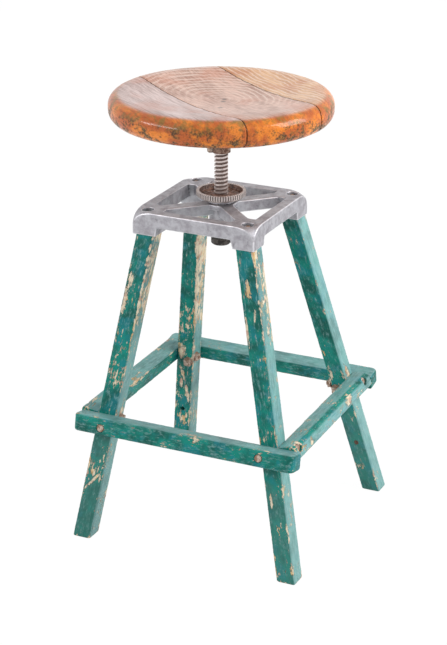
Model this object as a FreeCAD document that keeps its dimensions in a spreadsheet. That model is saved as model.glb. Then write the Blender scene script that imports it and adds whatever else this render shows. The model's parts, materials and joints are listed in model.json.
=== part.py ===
"""Machinist stool: a screw-adjusted wooden seat on a cast aluminium spider with four splayed wooden legs.

Millimetres, +Z up. The floor is z = 0 and the origin is the centre of the four feet.
-Y is the front of the stool and +X its right side.
"""
import FreeCAD, Part
import os
import Sketcher

V = FreeCAD.Vector
SHEET = "Sizes"

SIZES = {
    # The frame: four legs that splay from the spider down to the floor
    "foot_spacing": 366.0,
    "head_spacing": 158.0,
    "frame_height": 544.0,
    "frame_lean": 24.0,
    "leg_size": 31.6,
    "leg_edge": 1.3,
    "foot_chamfer": 1.2,
    "spare_hole_height": 94.0,
    "spare_hole_diameter": 8.0,
    "spare_hole_depth": 20.0,
    "plug_recess": 1.0,
    # Stretchers, laid flat against the outer faces of the legs and bolted through them
    "stretcher_height": 201.0,
    "stretcher_depth": 31.0,
    "stretcher_width": 25.0,
    "stretcher_lift": 2.2,
    "front_stretcher_width": 29.0,
    "front_stretcher_drop": 3.8,
    "side_stretcher_rise": 0.022,
    "stretcher_edge": 4.0,
    "worn_edge": 13.0,
    "stretcher_nose": 10.0,
    "stretcher_overhang": 1.6,
    "front_stretcher_shift": 5.0,
    "rear_stretcher_shift": -3.0,
    "stretcher_butt_gap": 1.2,
    "bolt_diameter": 6.4,
    "bolt_clearance": 0.3,
    "bolt_head_diameter": 12.6,
    "bolt_head_clearance": 0.7,
    "bolt_head_thickness": 3.0,
    "bolt_head_recess": 0.6,
    "side_bolt_recess": 4.2,
    "bolt_tail": 2.5,
    "bolt_inset": 6.0,
    "side_bolt_shift": 3.0,
    "front_bolt_drop": 5.3,
    "front_bolt_skew": 1.5,
    "rear_bolt_lift": 0.6,
    "side_bolt_lift": 6.1,
    "side_bolt_skew": 2.5,
    "washer_diameter": 17.0,
    "washer_thickness": 1.6,
    "nut_width": 11.0,
    "nut_thickness": 5.5,
    "nail_diameter": 3.0,
    "nail_length": 40.0,
    "nail_from_end": 14.0,
    "nail_drop": 6.5,
    # The spider casting
    "casting_size": 211.0,
    "casting_depth": 23.5,
    "rail_width": 18.0,
    "rib_width": 22.0,
    "rib_depth": 19.0,
    "rib_fillet": 9.0,
    "socket_depth": 38.0,
    "socket_wall": 3.8,
    "socket_clearance": 0.15,
    "corner_web": 8.0,
    "shoulder_radius": 22.0,
    "shoulder_reach": 23.3,
    "corner_hole_diameter": 19.0,
    "corner_hole_spacing": 173.0,
    "hub_diameter": 38.0,
    "hub_length": 43.0,
    "hub_web_diameter": 52.0,
    "hub_web_depth": 9.0,
    "hub_boss_diameter": 42.0,
    "hub_boss_rise": 6.0,
    "head_screw_diameter": 6.0,
    "head_screw_head": 12.0,
    "head_screw_head_thickness": 5.0,
    "head_screw_length": 38.0,
    # Height screw, its threaded bushing and its retaining collar
    "screw_diameter": 22.2,
    "thread_pitch": 6.35,
    "thread_depth": 2.3,
    "thread_root_width": 2.5,
    "thread_crest_width": 3.7,
    "thread_clearance": 0.25,
    "bushing_diameter": 30.0,
    "bushing_lip": 2.0,
    "travel_up": 12.7,
    "washer_play": 0.2,
    "stop_washer_diameter": 33.0,
    "stop_washer_thickness": 2.0,
    "loose_bore_clearance": 0.5,
    "screw_end_diameter": 15.0,
    "collar_diameter": 32.0,
    "collar_height": 17.0,
    "collar_edge": 2.5,
    "pin_diameter": 4.0,
    "pin_recess": 0.5,
    "pin_angle": 25.0,
    # Lock wheel on the screw, with the washer under it
    "wheel_diameter": 79.5,
    "wheel_teeth": 60.0,
    "tooth_depth": 1.6,
    "wheel_height": 10.8,
    "wheel_rim_height": 7.0,
    "wheel_rim_width": 5.3,
    "wheel_web": 2.8,
    "wheel_collar_diameter": 33.0,
    "wheel_collar_height": 5.4,
    "wheel_slots": 6.0,
    "wheel_slot_width": 7.5,
    "wheel_slot_length": 16.0,
    "wheel_slot_radius": 29.0,
    "wheel_washer_diameter": 38.0,
    "wheel_washer_thickness": 1.6,
    # Seat of three glued boards, on an iron flange
    "screw_exposed": 76.0,
    "seat_diameter": 355.6,
    "seat_thickness": 44.0,
    "seat_rim_radius": 19.0,
    "seat_dish": 12.0,
    "seat_crest_width": 9.0,
    "front_joint": 60.0,
    "rear_joint": 81.0,
    "board_angle": 32.4,
    "flange_diameter": 116.0,
    "flange_thickness": 7.0,
    "flange_boss_diameter": 30.0,
    "flange_boss_length": 46.0,
    "flange_clearance": 0.1,
    "flange_screw_circle": 92.0,
    "flange_screw_diameter": 5.0,
    "flange_screw_head": 10.0,
    "flange_screw_head_thickness": 3.0,
    "flange_screw_length": 25.0,
    "set_screw_diameter": 6.0,
    "set_screw_head": 13.0,
    "set_screw_height": 5.5,
    "set_screw_head_thickness": 7.0,
    "set_screw_angle": 215.0,
}

DERIVED = {
    # Slope of a leg, measured inwards per unit of height, and the sideways slope of the leaning frame
    "leg_slope": "(foot_spacing - head_spacing) / 2 / frame_height",
    "lean_slope": "frame_lean / frame_height",
    "leg_half": "leg_size / 2",
    "leg_top": "frame_height - corner_web",
    "front_tilt": "atan(leg_slope) / 1 deg",
    "right_tilt": "atan(leg_slope + lean_slope) / 1 deg",
    "left_tilt": "atan(leg_slope - lean_slope) / 1 deg",
    # Where the legs' outer faces are at the height of the stretchers, from the feet's centre
    "leg_at_stretcher": "foot_spacing / 2 - leg_slope * stretcher_height",
    "lean_at_stretcher": "lean_slope * stretcher_height",
    "face_at_stretcher": "leg_at_stretcher + leg_half",
    "bolt_hole": "bolt_diameter + 2 * bolt_clearance",
    "head_hole": "bolt_head_diameter + 2 * bolt_head_clearance",
    # Heights along the screw's axis
    "boss_top": "frame_height + hub_boss_rise",
    "wheel_base": "boss_top + wheel_washer_thickness + washer_play",
    "hub_base": "boss_top - hub_length",
    "bushing_base": "hub_base - bushing_lip",
    "washer_top": "bushing_base - travel_up - washer_play",
    "collar_top": "washer_top - stop_washer_thickness - washer_play",
    "collar_base": "collar_top - collar_height",
    "flange_boss_base": "boss_top + screw_exposed",
    "flange_base": "flange_boss_base + flange_boss_length",
    "seat_base": "flange_base + flange_thickness",
    "screw_radius": "screw_diameter / 2",
    "thread_root": "screw_radius - thread_depth",
    "nut_bore": "thread_root + thread_clearance",
    "nut_groove": "screw_radius + thread_clearance",
    "thread_flank": "(thread_crest_width - thread_root_width) / 2",
    "thread_start": "collar_top - 0.5",
    "shoulder_start": "casting_size / 2 * sqrt(2) - shoulder_reach",
    "dish_reach": "seat_diameter / 2 - seat_rim_radius - seat_crest_width",
    "dish_radius": "(dish_reach * dish_reach + seat_dish * seat_dish) / (2 * seat_dish)",
}


def filled_sheet(document):
    """Write every driving size and every worked-out size into the sheet, one alias each."""
    sheet = document.addObject("Spreadsheet::Sheet", SHEET)
    row = 1
    for name, value in SIZES.items():
        sheet.set("A%d" % row, name)
        sheet.set("B%d" % row, str(value))
        sheet.setAlias("B%d" % row, name)
        row += 1
    for name, formula in DERIVED.items():
        sheet.set("A%d" % row, name)
        sheet.set("B%d" % row, "=" + formula)
        sheet.setAlias("B%d" % row, name)
        row += 1
    document.recompute()
    return sheet


doc = FreeCAD.newDocument("MachinistStool")
sizes = filled_sheet(doc)


def size(name):
    """Return a size from the sheet as a plain number."""
    value = sizes.get(name)
    return float(getattr(value, "Value", value))


def cell(formula):
    """Turn a formula of alias names into one that other objects can read."""
    out = []
    word = ""
    for letter in formula + " ":
        if letter.isalnum() or letter == "_":
            word += letter
            continue
        if word in SIZES or word in DERIVED:
            word = SHEET + "." + word
        out.append(word + letter)
        word = ""
    return "".join(out).strip()


def worked_out(formula):
    """Return the present value of a formula."""
    value = sizes.evalExpression(cell(formula))
    return float(getattr(value, "Value", value))


def bind(item, **formulas):
    """Bind properties of an object to formulas of the sheet."""
    for name, formula in formulas.items():
        item.setExpression(name.replace("__", "."), cell(formula))
    return item


def place(item, x="0", y="0", z="0", axis=None, angle="0"):
    """Bind an object's place, and its turn about one fixed axis."""
    if axis:
        item.Placement = FreeCAD.Placement(V(0, 0, 0), FreeCAD.Rotation(V(*axis), 1.0))
        bind(item, Placement__Rotation__Angle=angle)
    return bind(item, Placement__Base__x=x, Placement__Base__y=y, Placement__Base__z=z)


def origin_plane(body, role):
    """Find one of a body's own origin planes."""
    for feature in body.Origin.OriginFeatures:
        if feature.Role == role:
            return feature
    raise ValueError(role)


def sketch_on(body, name, role="XY_Plane", x="0", y="0", z="0", turn=None):
    """Make an empty sketch on a plane of the body, moved by formulas within that plane's own frame."""
    sketch = body.newObject("Sketcher::SketchObject", name)
    sketch.AttachmentSupport = [(origin_plane(body, role), "")]
    sketch.MapMode = "FlatFace"
    if turn:
        sketch.AttachmentOffset = FreeCAD.Placement(V(0, 0, 0), FreeCAD.Rotation(V(0, 0, 1), 1.0))
        sketch.setExpression("AttachmentOffset.Rotation.Angle", cell(turn))
    for letter, formula in (("x", x), ("y", y), ("z", z)):
        if formula != "0":
            sketch.setExpression("AttachmentOffset.Base." + letter, cell(formula))
    return sketch


def polygon(sketch, points):
    """Draw a closed outline whose corners are pairs of formulas."""
    corners = [V(worked_out(x), worked_out(y), 0) for x, y in points]
    count = len(points)
    first = sketch.GeometryCount
    for number in range(count):
        sketch.addGeometry(Part.LineSegment(corners[number], corners[(number + 1) % count]))
    for number in range(count):
        after = first + (number + 1) % count
        sketch.addConstraint(Sketcher.Constraint("Coincident", first + number, 2, after, 1))
    for number, (x, y) in enumerate(points):
        for kind, formula, value in (("DistanceX", x, corners[number].x), ("DistanceY", y, corners[number].y)):
            index = sketch.addConstraint(Sketcher.Constraint(kind, -1, 1, first + number, 1, value))
            sketch.setExpression("Constraints[%d]" % index, cell(formula))
    return sketch


def rectangle(sketch, width, depth):
    """Draw a rectangle about the sketch's own origin."""
    left = "-(%s) / 2" % width
    right = "(%s) / 2" % width
    low = "-(%s) / 2" % depth
    high = "(%s) / 2" % depth
    return polygon(sketch, [(left, low), (right, low), (right, high), (left, high)])


def bevelled_square(sketch, half, bevel):
    """Draw a square about the sketch's own origin, with its four corners cut."""
    near = "(%s - %s)" % (half, bevel)
    corners = [(half, near), (near, half)]
    points = []
    minus = "-1 * "
    for x_sign, y_sign, backwards in (("", "", False), (minus, "", True), (minus, minus, False), ("", minus, True)):
        turned_corner = [(x_sign + x, y_sign + y) for x, y in corners]
        points += turned_corner[::-1] if backwards else turned_corner
    return polygon(sketch, points)


def circle(sketch, diameter, x="0", y="0"):
    """Draw a circle whose centre and diameter are formulas."""
    centre = V(worked_out(x), worked_out(y), 0)
    index = sketch.addGeometry(Part.Circle(centre, V(0, 0, 1), worked_out(diameter) / 2))
    for kind, formula in (("DistanceX", x), ("DistanceY", y)):
        if formula == "0":
            continue
        value = centre.x if kind == "DistanceX" else centre.y
        place_index = sketch.addConstraint(Sketcher.Constraint(kind, -1, 1, index, 3, value))
        sketch.setExpression("Constraints[%d]" % place_index, cell(formula))
    if x == "0" and y == "0":
        sketch.addConstraint(Sketcher.Constraint("Coincident", index, 3, -1, 1))
    elif x == "0":
        sketch.addConstraint(Sketcher.Constraint("PointOnObject", index, 3, -2))
    elif y == "0":
        sketch.addConstraint(Sketcher.Constraint("PointOnObject", index, 3, -1))
    size_index = sketch.addConstraint(Sketcher.Constraint("Diameter", index, worked_out(diameter)))
    sketch.setExpression("Constraints[%d]" % size_index, cell(diameter))
    return sketch


def pad(body, sketch, length, down=False):
    """Extrude a sketch."""
    feature = body.newObject("PartDesign::Pad", sketch.Name + "_pad")
    feature.Profile = sketch
    feature.Reversed = down
    bind(feature, Length=length)
    return feature


def pocket(body, sketch, length=None, down=True):
    """Cut a sketch through the body, or to a depth."""
    feature = body.newObject("PartDesign::Pocket", sketch.Name + "_pocket")
    feature.Profile = sketch
    feature.Reversed = not down
    if length is None:
        feature.Type = "ThroughAll"
        feature.Midplane = True
    else:
        bind(feature, Length=length)
    return feature


def revolve(body, sketch, cut=False):
    """Turn a sketch once round the upright axis of its own plane."""
    kind = "PartDesign::Groove" if cut else "PartDesign::Revolution"
    feature = body.newObject(kind, sketch.Name + "_turned")
    feature.Profile = sketch
    feature.ReferenceAxis = (sketch, ["V_Axis"])
    feature.Angle = 360
    return feature


def loft(body, low, others, cut=False):
    """Join a sketch to others above or below it by flat faces."""
    kind = "PartDesign::SubtractiveLoft" if cut else "PartDesign::AdditiveLoft"
    feature = body.newObject(kind, low.Name + "_loft")
    feature.Profile = low
    feature.Sections = others
    feature.Ruled = True
    return feature


def polar(body, feature, sketch, count):
    """Repeat a feature about the normal of its sketch."""
    pattern = body.newObject("PartDesign::PolarPattern", feature.Name + "_ring")
    pattern.Originals = [feature]
    pattern.Axis = (sketch, ["N_Axis"])
    pattern.Angle = 360
    if isinstance(count, str):
        bind(pattern, Occurrences=count)
    else:
        pattern.Occurrences = count
    body.Tip = pattern
    return pattern


def edges_where(body, test):
    """Name the edges of the body's present shape that pass a test."""
    doc.recompute()
    names = []
    for number, edge in enumerate(body.Tip.Shape.Edges, 1):
        if test(edge):
            names.append("Edge%d" % number)
    return names


def round_edges(body, names, radius, chamfer=False):
    """Round or bevel named edges of the body's last feature."""
    base = body.Tip
    kind = "PartDesign::Chamfer" if chamfer else "PartDesign::Fillet"
    feature = body.newObject(kind, base.Name + ("_bevel" if chamfer else "_round"))
    feature.Base = (base, names)
    if chamfer:
        bind(feature, Size=radius)
    else:
        bind(feature, Radius=radius)
    return feature


def new_body(name):
    """Start a sub-part whose label is its node's name."""
    body = doc.addObject("PartDesign::Body", name)
    body.Label = name
    return body


def is_line(edge):
    """Tell whether an edge is straight."""
    return edge.Curve.TypeId == "Part::GeomLine"


def span(edge):
    """Give the vector between the ends of an edge."""
    ends = edge.Vertexes
    return ends[-1].Point - ends[0].Point


def middle(edge):
    """Give the middle point of an edge."""
    return edge.valueAt((edge.FirstParameter + edge.LastParameter) / 2)


# The four sides of the frame
# Each side's frame has its Z axis pointing into the leg, square to the leg's outer face
SIDES = {
    "front": {"axis": (1, 0, 0), "angle": "-(90 + front_tilt)", "tilt": "front_tilt", "out": (0, -1)},
    "rear": {"axis": (1, 0, 0), "angle": "90 + front_tilt", "tilt": "front_tilt", "out": (0, 1)},
    "right": {"axis": (0, 1, 0), "angle": "-(90 + right_tilt)", "tilt": "right_tilt", "out": (1, 0)},
    "left": {"axis": (0, 1, 0), "angle": "90 + left_tilt", "tilt": "left_tilt", "out": (-1, 0)},
}


def side_place(item, side, along="0", outwards="0", up="0"):
    """Place an object in a side's frame.

    along is measured on the stretcher, outwards square to the legs' faces, and up along those faces.
    """
    data = SIDES[side]
    tilt = data["tilt"]
    reach = "((%s) * cos(%s) - (%s) * sin(%s))" % (outwards, tilt, up, tilt)
    rise = "stretcher_height + (%s) * sin(%s) + (%s) * cos(%s)" % (outwards, tilt, up, tilt)
    if side in LONG_SIDES:
        x = "-lean_at_stretcher + %s" % along
        y = "%d * (face_at_stretcher + %s)" % (data["out"][1], reach)
    else:
        x = "-lean_at_stretcher + %d * (face_at_stretcher + %s)" % (data["out"][0], reach)
        y = along
    return place(item, x, y, rise, data["axis"], data["angle"])


# Legs

LEGS = {
    "front_left": (-1, -1),
    "front_right": (1, -1),
    "rear_right": (1, 1),
    "rear_left": (-1, 1),
}
BOLT_SIDES = {
    "front_left": ("front", "left"),
    "front_right": ("front", "right"),
    "rear_right": ("rear", "right"),
    "rear_left": ("rear", "left"),
}
LONG_SIDES = ("front", "rear")

NAIL_ALONG = "-1 * (face_at_stretcher - nail_from_end)"


def leg_centre(corner, height):
    """Give the formulas of a leg's centre at a height."""
    right, back = LEGS[corner]
    x = "%d * (foot_spacing / 2 - leg_slope * (%s)) - lean_slope * (%s)" % (right, height, height)
    y = "%d * (foot_spacing / 2 - leg_slope * (%s))" % (back, height)
    return x, y


def bolt_along(corner, side):
    """Give how far along a stretcher a leg's bolt lies."""
    right, back = LEGS[corner]
    if side in LONG_SIDES:
        return "%d * (leg_at_stretcher - bolt_inset)" % right
    return "(%d * (leg_at_stretcher - bolt_inset) - side_bolt_shift)" % back


def bolt_rise(corner, side):
    """Give how far up its face a bolt lies: lower through the long stretchers, so that two bolts pass."""
    right, back = LEGS[corner]
    if side == "rear":
        return "rear_bolt_lift"
    if side == "front":
        return "(%d * front_bolt_skew - front_bolt_drop)" % right
    return "(%d * side_bolt_skew + side_bolt_lift)" % back


def head_recess(side):
    """Give how far a bolt's head is sunk, which is deeper in the worn side stretchers."""
    return "bolt_head_recess" if side in LONG_SIDES else "side_bolt_recess"


def leg_body(corner):
    """Build one leg: a square bar from its foot to the underside of the spider's corner."""
    body = new_body("leg_" + corner)
    sections = []
    levels = (("_sole", "0", "foot_chamfer"), ("_foot", "foot_chamfer", "0"), ("_head", "leg_top", "0"))
    for name, height, inset in levels:
        x, y = leg_centre(corner, height)
        section = sketch_on(body, corner + name, x=x, y=y, z=height)
        sections.append(bevelled_square(section, "(leg_half - %s)" % inset, "leg_edge"))
    loft(body, sections[0], sections[1:])
    for side in BOLT_SIDES[corner]:
        hole = body.newObject("PartDesign::SubtractiveCylinder", corner + "_" + side + "_bolt_hole")
        bind(hole, Radius="bolt_hole / 2", Height="leg_size * 2")
        side_place(hole, side, bolt_along(corner, side), "leg_half", bolt_rise(corner, side))
    if corner in ("rear_left", "rear_right"):
        spare_x, spare_y = leg_centre(corner, "spare_hole_height")
        spare = body.newObject("PartDesign::SubtractiveCylinder", corner + "_spare_hole")
        bind(spare, Radius="spare_hole_diameter / 2", Height="spare_hole_depth + leg_half")
        depth = spare_y + " - leg_size"
        place(spare, spare_x, depth, "spare_hole_height", (1, 0, 0), "-90")
    if corner == "front_right":
        nail_hole = body.newObject("PartDesign::SubtractiveCylinder", "leg_nail_hole")
        bind(nail_hole, Radius="nail_diameter / 2", Height="nail_length")
        side_place(nail_hole, "right", NAIL_ALONG, "stretcher_depth", "-nail_drop")
    if corner != "front_left":
        pilot = body.newObject("PartDesign::SubtractiveCylinder", corner + "_head_screw_hole")
        bind(pilot, Radius="head_screw_diameter / 2", Height="head_screw_length + 1")
        screw_x, screw_y = head_screw_centre(corner)
        place(pilot, screw_x, screw_y, "leg_top - head_screw_length")
    return body


def head_screw_centre(corner):
    """Give the formulas of the centre of a corner hole of the spider."""
    right, back = LEGS[corner]
    return "-frame_lean + %d * corner_hole_spacing / 2" % right, "%d * corner_hole_spacing / 2" % back


# Stretchers


def stretcher_holes(body, side, corners):
    """Drill a stretcher for its bolts, with a wide seat for each bolt's head."""
    for corner in corners:
        along = bolt_along(corner, side)
        rise = bolt_rise(corner, side)
        if side in LONG_SIDES:
            x = along
            y = "-1 * (%s)" % rise if side == "front" else rise
        else:
            x = rise if side == "right" else "-1 * (%s)" % rise
            y = along
        hole = body.newObject("PartDesign::SubtractiveCylinder", side + "_" + corner + "_hole")
        bind(hole, Radius="bolt_hole / 2", Height="stretcher_depth * 2")
        place(hole, x, y, "-stretcher_depth * 1.5")
        seat = body.newObject("PartDesign::SubtractiveCylinder", side + "_" + corner + "_head_seat")
        bind(seat, Radius="head_hole / 2", Height="bolt_head_thickness + %s + 5" % head_recess(side))
        place(seat, x, y, "-stretcher_depth - 5")


def long_stretcher(side):
    """Build the front or rear stretcher, which spans both legs and covers the side stretchers' ends."""
    body = new_body("stretcher_" + side)
    reach = "leg_at_stretcher + leg_half + stretcher_depth + stretcher_overhang"
    shift = side + "_stretcher_shift"
    centre = "front_stretcher_drop" if side == "front" else "stretcher_lift"
    width = "front_stretcher_width" if side == "front" else "stretcher_width"
    bar = sketch_on(body, side + "_bar")
    left = "%s - (%s)" % (shift, reach)
    right = "%s + (%s)" % (shift, reach)
    low = "%s - %s / 2" % (centre, width)
    high = "%s + %s / 2" % (centre, width)
    polygon(bar, [(left, low), (right, low), (right, high), (left, high)])
    pad(body, bar, "stretcher_depth", down=True)
    back = size("stretcher_depth")
    noses = edges_where(body, lambda edge: abs(span(edge).y) > 1 and middle(edge).z < -back + 0.01)
    round_edges(body, noses, "stretcher_nose")
    outer = edges_where(body, lambda edge: abs(abs(middle(edge).y - size(centre)) - size(width) / 2) < 0.01
                        and abs(span(edge).x) > 100 and middle(edge).z < -back / 2)
    round_edges(body, outer, "stretcher_edge")
    stretcher_holes(body, side, [corner for corner in LEGS if side in BOLT_SIDES[corner]])
    return side_place(body, side)


def side_stretcher(side):
    """Build the left or right stretcher, held between the long ones with its ends cut to their slope."""
    body = new_body("stretcher_" + side)
    tilt = SIDES[side]["tilt"]
    sign = "" if side == "right" else "-1 * "
    faces = []
    for name, depth in (("_inner", "0"), ("_outer", "stretcher_depth")):
        points = []
        for half, front_first in (("stretcher_width / 2", True), ("-stretcher_width / 2", False)):
            level = "(stretcher_lift + %s)" % half
            height = "((%s) * sin(%s) + %s * cos(%s))" % (depth, tilt, level, tilt)
            flat = "(face_at_stretcher - leg_slope * %s - stretcher_butt_gap)" % height
            slant = "leg_slope * side_stretcher_rise * cos(%s)" % tilt
            front = "(-1 * %s / (1 - %s))" % (flat, slant)
            rear = "(%s / (1 + %s))" % (flat, slant)
            ends = [(sign + "(%s + side_stretcher_rise * %s)" % (level, end), end) for end in (front, rear)]
            points += ends if front_first else ends[::-1]
        sketch = sketch_on(body, side + name, z="-1 * (%s)" % depth)
        faces.append(polygon(sketch, points))
    loft(body, faces[0], faces[1:])
    back = size("stretcher_depth")
    outer = edges_where(body, lambda edge: abs(span(edge).y) > 100 and middle(edge).z < -back + 0.01
                        and (side == "left" or middle(edge).x < 0))
    round_edges(body, outer, "stretcher_edge")
    if side == "right":
        worn = edges_where(body, lambda edge: abs(span(edge).y) > 100 and middle(edge).x > 0
                           and middle(edge).z < -back + 0.01)
        round_edges(body, worn, "worn_edge")
    stretcher_holes(body, side, [corner for corner in LEGS if side in BOLT_SIDES[corner]])
    if side == "right":
        hole = body.newObject("PartDesign::SubtractiveCylinder", "nail_hole")
        bind(hole, Radius="nail_diameter / 2", Height="nail_length + 5")
        place(hole, "-nail_drop", NAIL_ALONG, "-stretcher_depth - 5")
    return side_place(body, side)


# Fasteners of the frame


def turned(name, points, x="0", y="0", z="0"):
    """Make a round piece from its half outline, given as radius and height formulas."""
    body = new_body(name)
    polygon(sketch_on(body, name + "_outline", "XZ_Plane"), points)
    revolve(body, body.Group[-1])
    return place(body, x, y, z)


def bolt(side, corner):
    """Make one frame bolt from its head's outer face inwards."""
    back = head_recess(side) + " - stretcher_depth"
    seat = "(%s + bolt_head_thickness)" % back
    end = "(leg_size * cos(%s) + washer_thickness + nut_thickness + bolt_tail)" % SIDES[side]["tilt"]
    head = "bolt_head_diameter / 2"
    crown = "bolt_head_diameter / 2 - bolt_head_thickness / 3"
    shoulder = "(%s + bolt_head_thickness / 3)" % back
    shank = "bolt_diameter / 2"
    points = [("0", back), (crown, back), (head, shoulder), (head, seat), (shank, seat), (shank, end), ("0", end)]
    piece = turned("bolt_%s_%s" % (side, corner), points)
    return side_place(piece, side, bolt_along(corner, side), "0", bolt_rise(corner, side))


def washer(side, corner):
    """Make the washer under one nut, on the leg's inner face."""
    low = "leg_size * cos(%s)" % SIDES[side]["tilt"]
    high = low + " + washer_thickness"
    outer = "washer_diameter / 2"
    inner = "bolt_hole / 2"
    points = [(inner, low), (outer, low), (outer, high), (inner, high)]
    piece = turned("washer_%s_%s" % (side, corner), points)
    return side_place(piece, side, bolt_along(corner, side), "0", bolt_rise(corner, side))


def nut(side, corner):
    """Make one square nut."""
    name = "nut_%s_%s" % (side, corner)
    body = new_body(name)
    start = "leg_size * cos(%s) + washer_thickness" % SIDES[side]["tilt"]
    outline = sketch_on(body, name + "_outline", z=start)
    rectangle(outline, "nut_width", "nut_width")
    circle(outline, "bolt_diameter")
    pad(body, outline, "nut_thickness")
    return side_place(body, side, bolt_along(corner, side), "0", bolt_rise(corner, side))


def group(name, pieces):
    """Gather identical fasteners into one node."""
    compound = doc.addObject("Part::Compound", name)
    compound.Label = name
    compound.Links = pieces
    return compound


def frame_fasteners():
    """Make the bolts, washers and nuts of all eight stretcher joints."""
    joints = [(side, corner) for corner in LEGS for side in BOLT_SIDES[corner]]
    return [
        group("stretcher_bolts", [bolt(side, corner) for side, corner in joints]),
        group("stretcher_washers", [washer(side, corner) for side, corner in joints]),
        group("stretcher_nuts", [nut(side, corner) for side, corner in joints]),
    ]


def nail():
    """Make the nail that holds the right stretcher's front end."""
    radius = "nail_diameter / 2"
    end = "nail_length - stretcher_depth"
    point = "nail_length - stretcher_depth - nail_diameter"
    points = [("0", "-stretcher_depth"), (radius, "-stretcher_depth"), (radius, point), ("0", end)]
    return side_place(turned("stretcher_nail", points), "right", NAIL_ALONG, "0", "-nail_drop")


def leg_plug():
    """Make the plug in the rear right leg's spare hole."""
    x, y = leg_centre("rear_right", "spare_hole_height")
    radius = "spare_hole_diameter / 2"
    length = "spare_hole_depth - plug_recess"
    points = [("0", "0"), (radius, "0"), (radius, length), ("0", length)]
    piece = turned("leg_plug", points)
    return place(piece, x, y + " - leg_half + plug_recess", "spare_hole_height", (1, 0, 0), "-90")


def head_screws():
    """Make the screws that hold three of the legs in the spider, with domed heads on the legs' ends."""
    pieces = []
    shank = "head_screw_diameter / 2"
    head = "head_screw_head / 2"
    crown = "head_screw_head / 4"
    thick = "head_screw_head_thickness"
    low = "-head_screw_length"
    for corner in LEGS:
        if corner == "front_left":
            continue
        x, y = head_screw_centre(corner)
        points = [("0", low), (shank, low), (shank, "0"), (head, "0"), (head, thick + " / 2"),
                  (crown, thick), ("0", thick)]
        pieces.append(turned("head_screw_" + corner, points, x, y, "leg_top"))
    return group("leg_head_screws", pieces)


# The spider casting, whose own origin is the screw's axis on its top face


def spider_casting():
    """Build the cast spider: a square rail, crossed ribs, a hub and four leg sockets."""
    body = new_body("spider_casting")
    square = sketch_on(body, "casting_square")
    rectangle(square, "casting_size", "casting_size")
    rectangle(square, "casting_size - 2 * rail_width", "casting_size - 2 * rail_width")
    pad(body, square, "casting_depth", down=True)
    for number, turn in enumerate(("45", "-45")):
        rib = sketch_on(body, "rib_%d" % number, turn=turn)
        rectangle(rib, "(casting_size - rail_width) * sqrt(2)", "rib_width")
        pad(body, rib, "rib_depth", down=True)
    web = circle(sketch_on(body, "hub_web"), "hub_web_diameter")
    pad(body, web, "hub_web_depth", down=True)
    hub = circle(sketch_on(body, "hub"), "hub_diameter")
    pad(body, hub, "hub_length - hub_boss_rise", down=True)
    boss = circle(sketch_on(body, "hub_boss"), "hub_boss_diameter")
    pad(body, boss, "hub_boss_rise")
    for corner in LEGS:
        socket_block(body, corner)
    junctions = edges_where(body, rib_junction)
    round_edges(body, junctions, "rib_fillet")
    for corner in LEGS:
        socket_pocket(body, corner)
        x, y = head_screw_centre(corner)
        sketch = sketch_on(body, corner + "_corner_hole")
        hole = circle(sketch, "corner_hole_diameter", x + " + frame_lean", y)
        pocket(body, hole, "corner_web")
    bore = circle(sketch_on(body, "hub_bore"), "bushing_diameter")
    pocket(body, bore)
    shoulder(body)
    return place(body, "-frame_lean", "0", "frame_height")


def rib_junction(edge):
    """Tell whether an edge is an upright inner corner between two crossing ribs or a rib and the hub's web."""
    rise = abs(span(edge).z)
    place_of = middle(edge)
    distance = (place_of.x ** 2 + place_of.y ** 2) ** 0.5
    near_web = abs(distance - size("hub_web_diameter") / 2) < 1
    return is_line(edge) and near_web and abs(rise - size("hub_web_depth")) < 0.5


def socket_block(body, corner):
    """Add the solid block round one leg's head, which follows the leg on its inner sides."""
    right, back = LEGS[corner]
    outer = "casting_size / 2"
    faces = []
    for name, drop in (("_top", "0"), ("_bottom", "socket_depth")):
        leg = "(head_spacing / 2 + leg_slope * (%s))" % drop
        lean = "lean_slope * (%s)" % drop
        inner_x = "%d * (%s - leg_half - socket_clearance - socket_wall) + %s" % (right, leg, lean)
        inner_y = "%d * (%s - leg_half - socket_clearance - socket_wall)" % (back, leg)
        outer_x = "%d * (%s)" % (right, outer)
        outer_y = "%d * (%s)" % (back, outer)
        points = [(inner_x, inner_y), (outer_x, inner_y), (outer_x, outer_y), (inner_x, outer_y)]
        sketch = sketch_on(body, corner + name, z="-1 * (%s)" % drop)
        faces.append(polygon(sketch, points))
    return loft(body, faces[0], faces[1:])


def socket_pocket(body, corner):
    """Cut the socket that holds one leg's head, along the leg's own slope."""
    right, back = LEGS[corner]
    faces = []
    for name, drop in (("_seat", "corner_web"), ("_mouth", "socket_depth + 10")):
        x = "%d * (head_spacing / 2 + leg_slope * (%s)) + lean_slope * (%s)" % (right, drop, drop)
        y = "%d * (head_spacing / 2 + leg_slope * (%s))" % (back, drop)
        sketch = sketch_on(body, corner + name, x=x, y=y, z="-1 * (%s)" % drop)
        width = "leg_size + 2 * socket_clearance"
        faces.append(rectangle(sketch, width, width))
    return loft(body, faces[0], faces[1:], cut=True)


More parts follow.
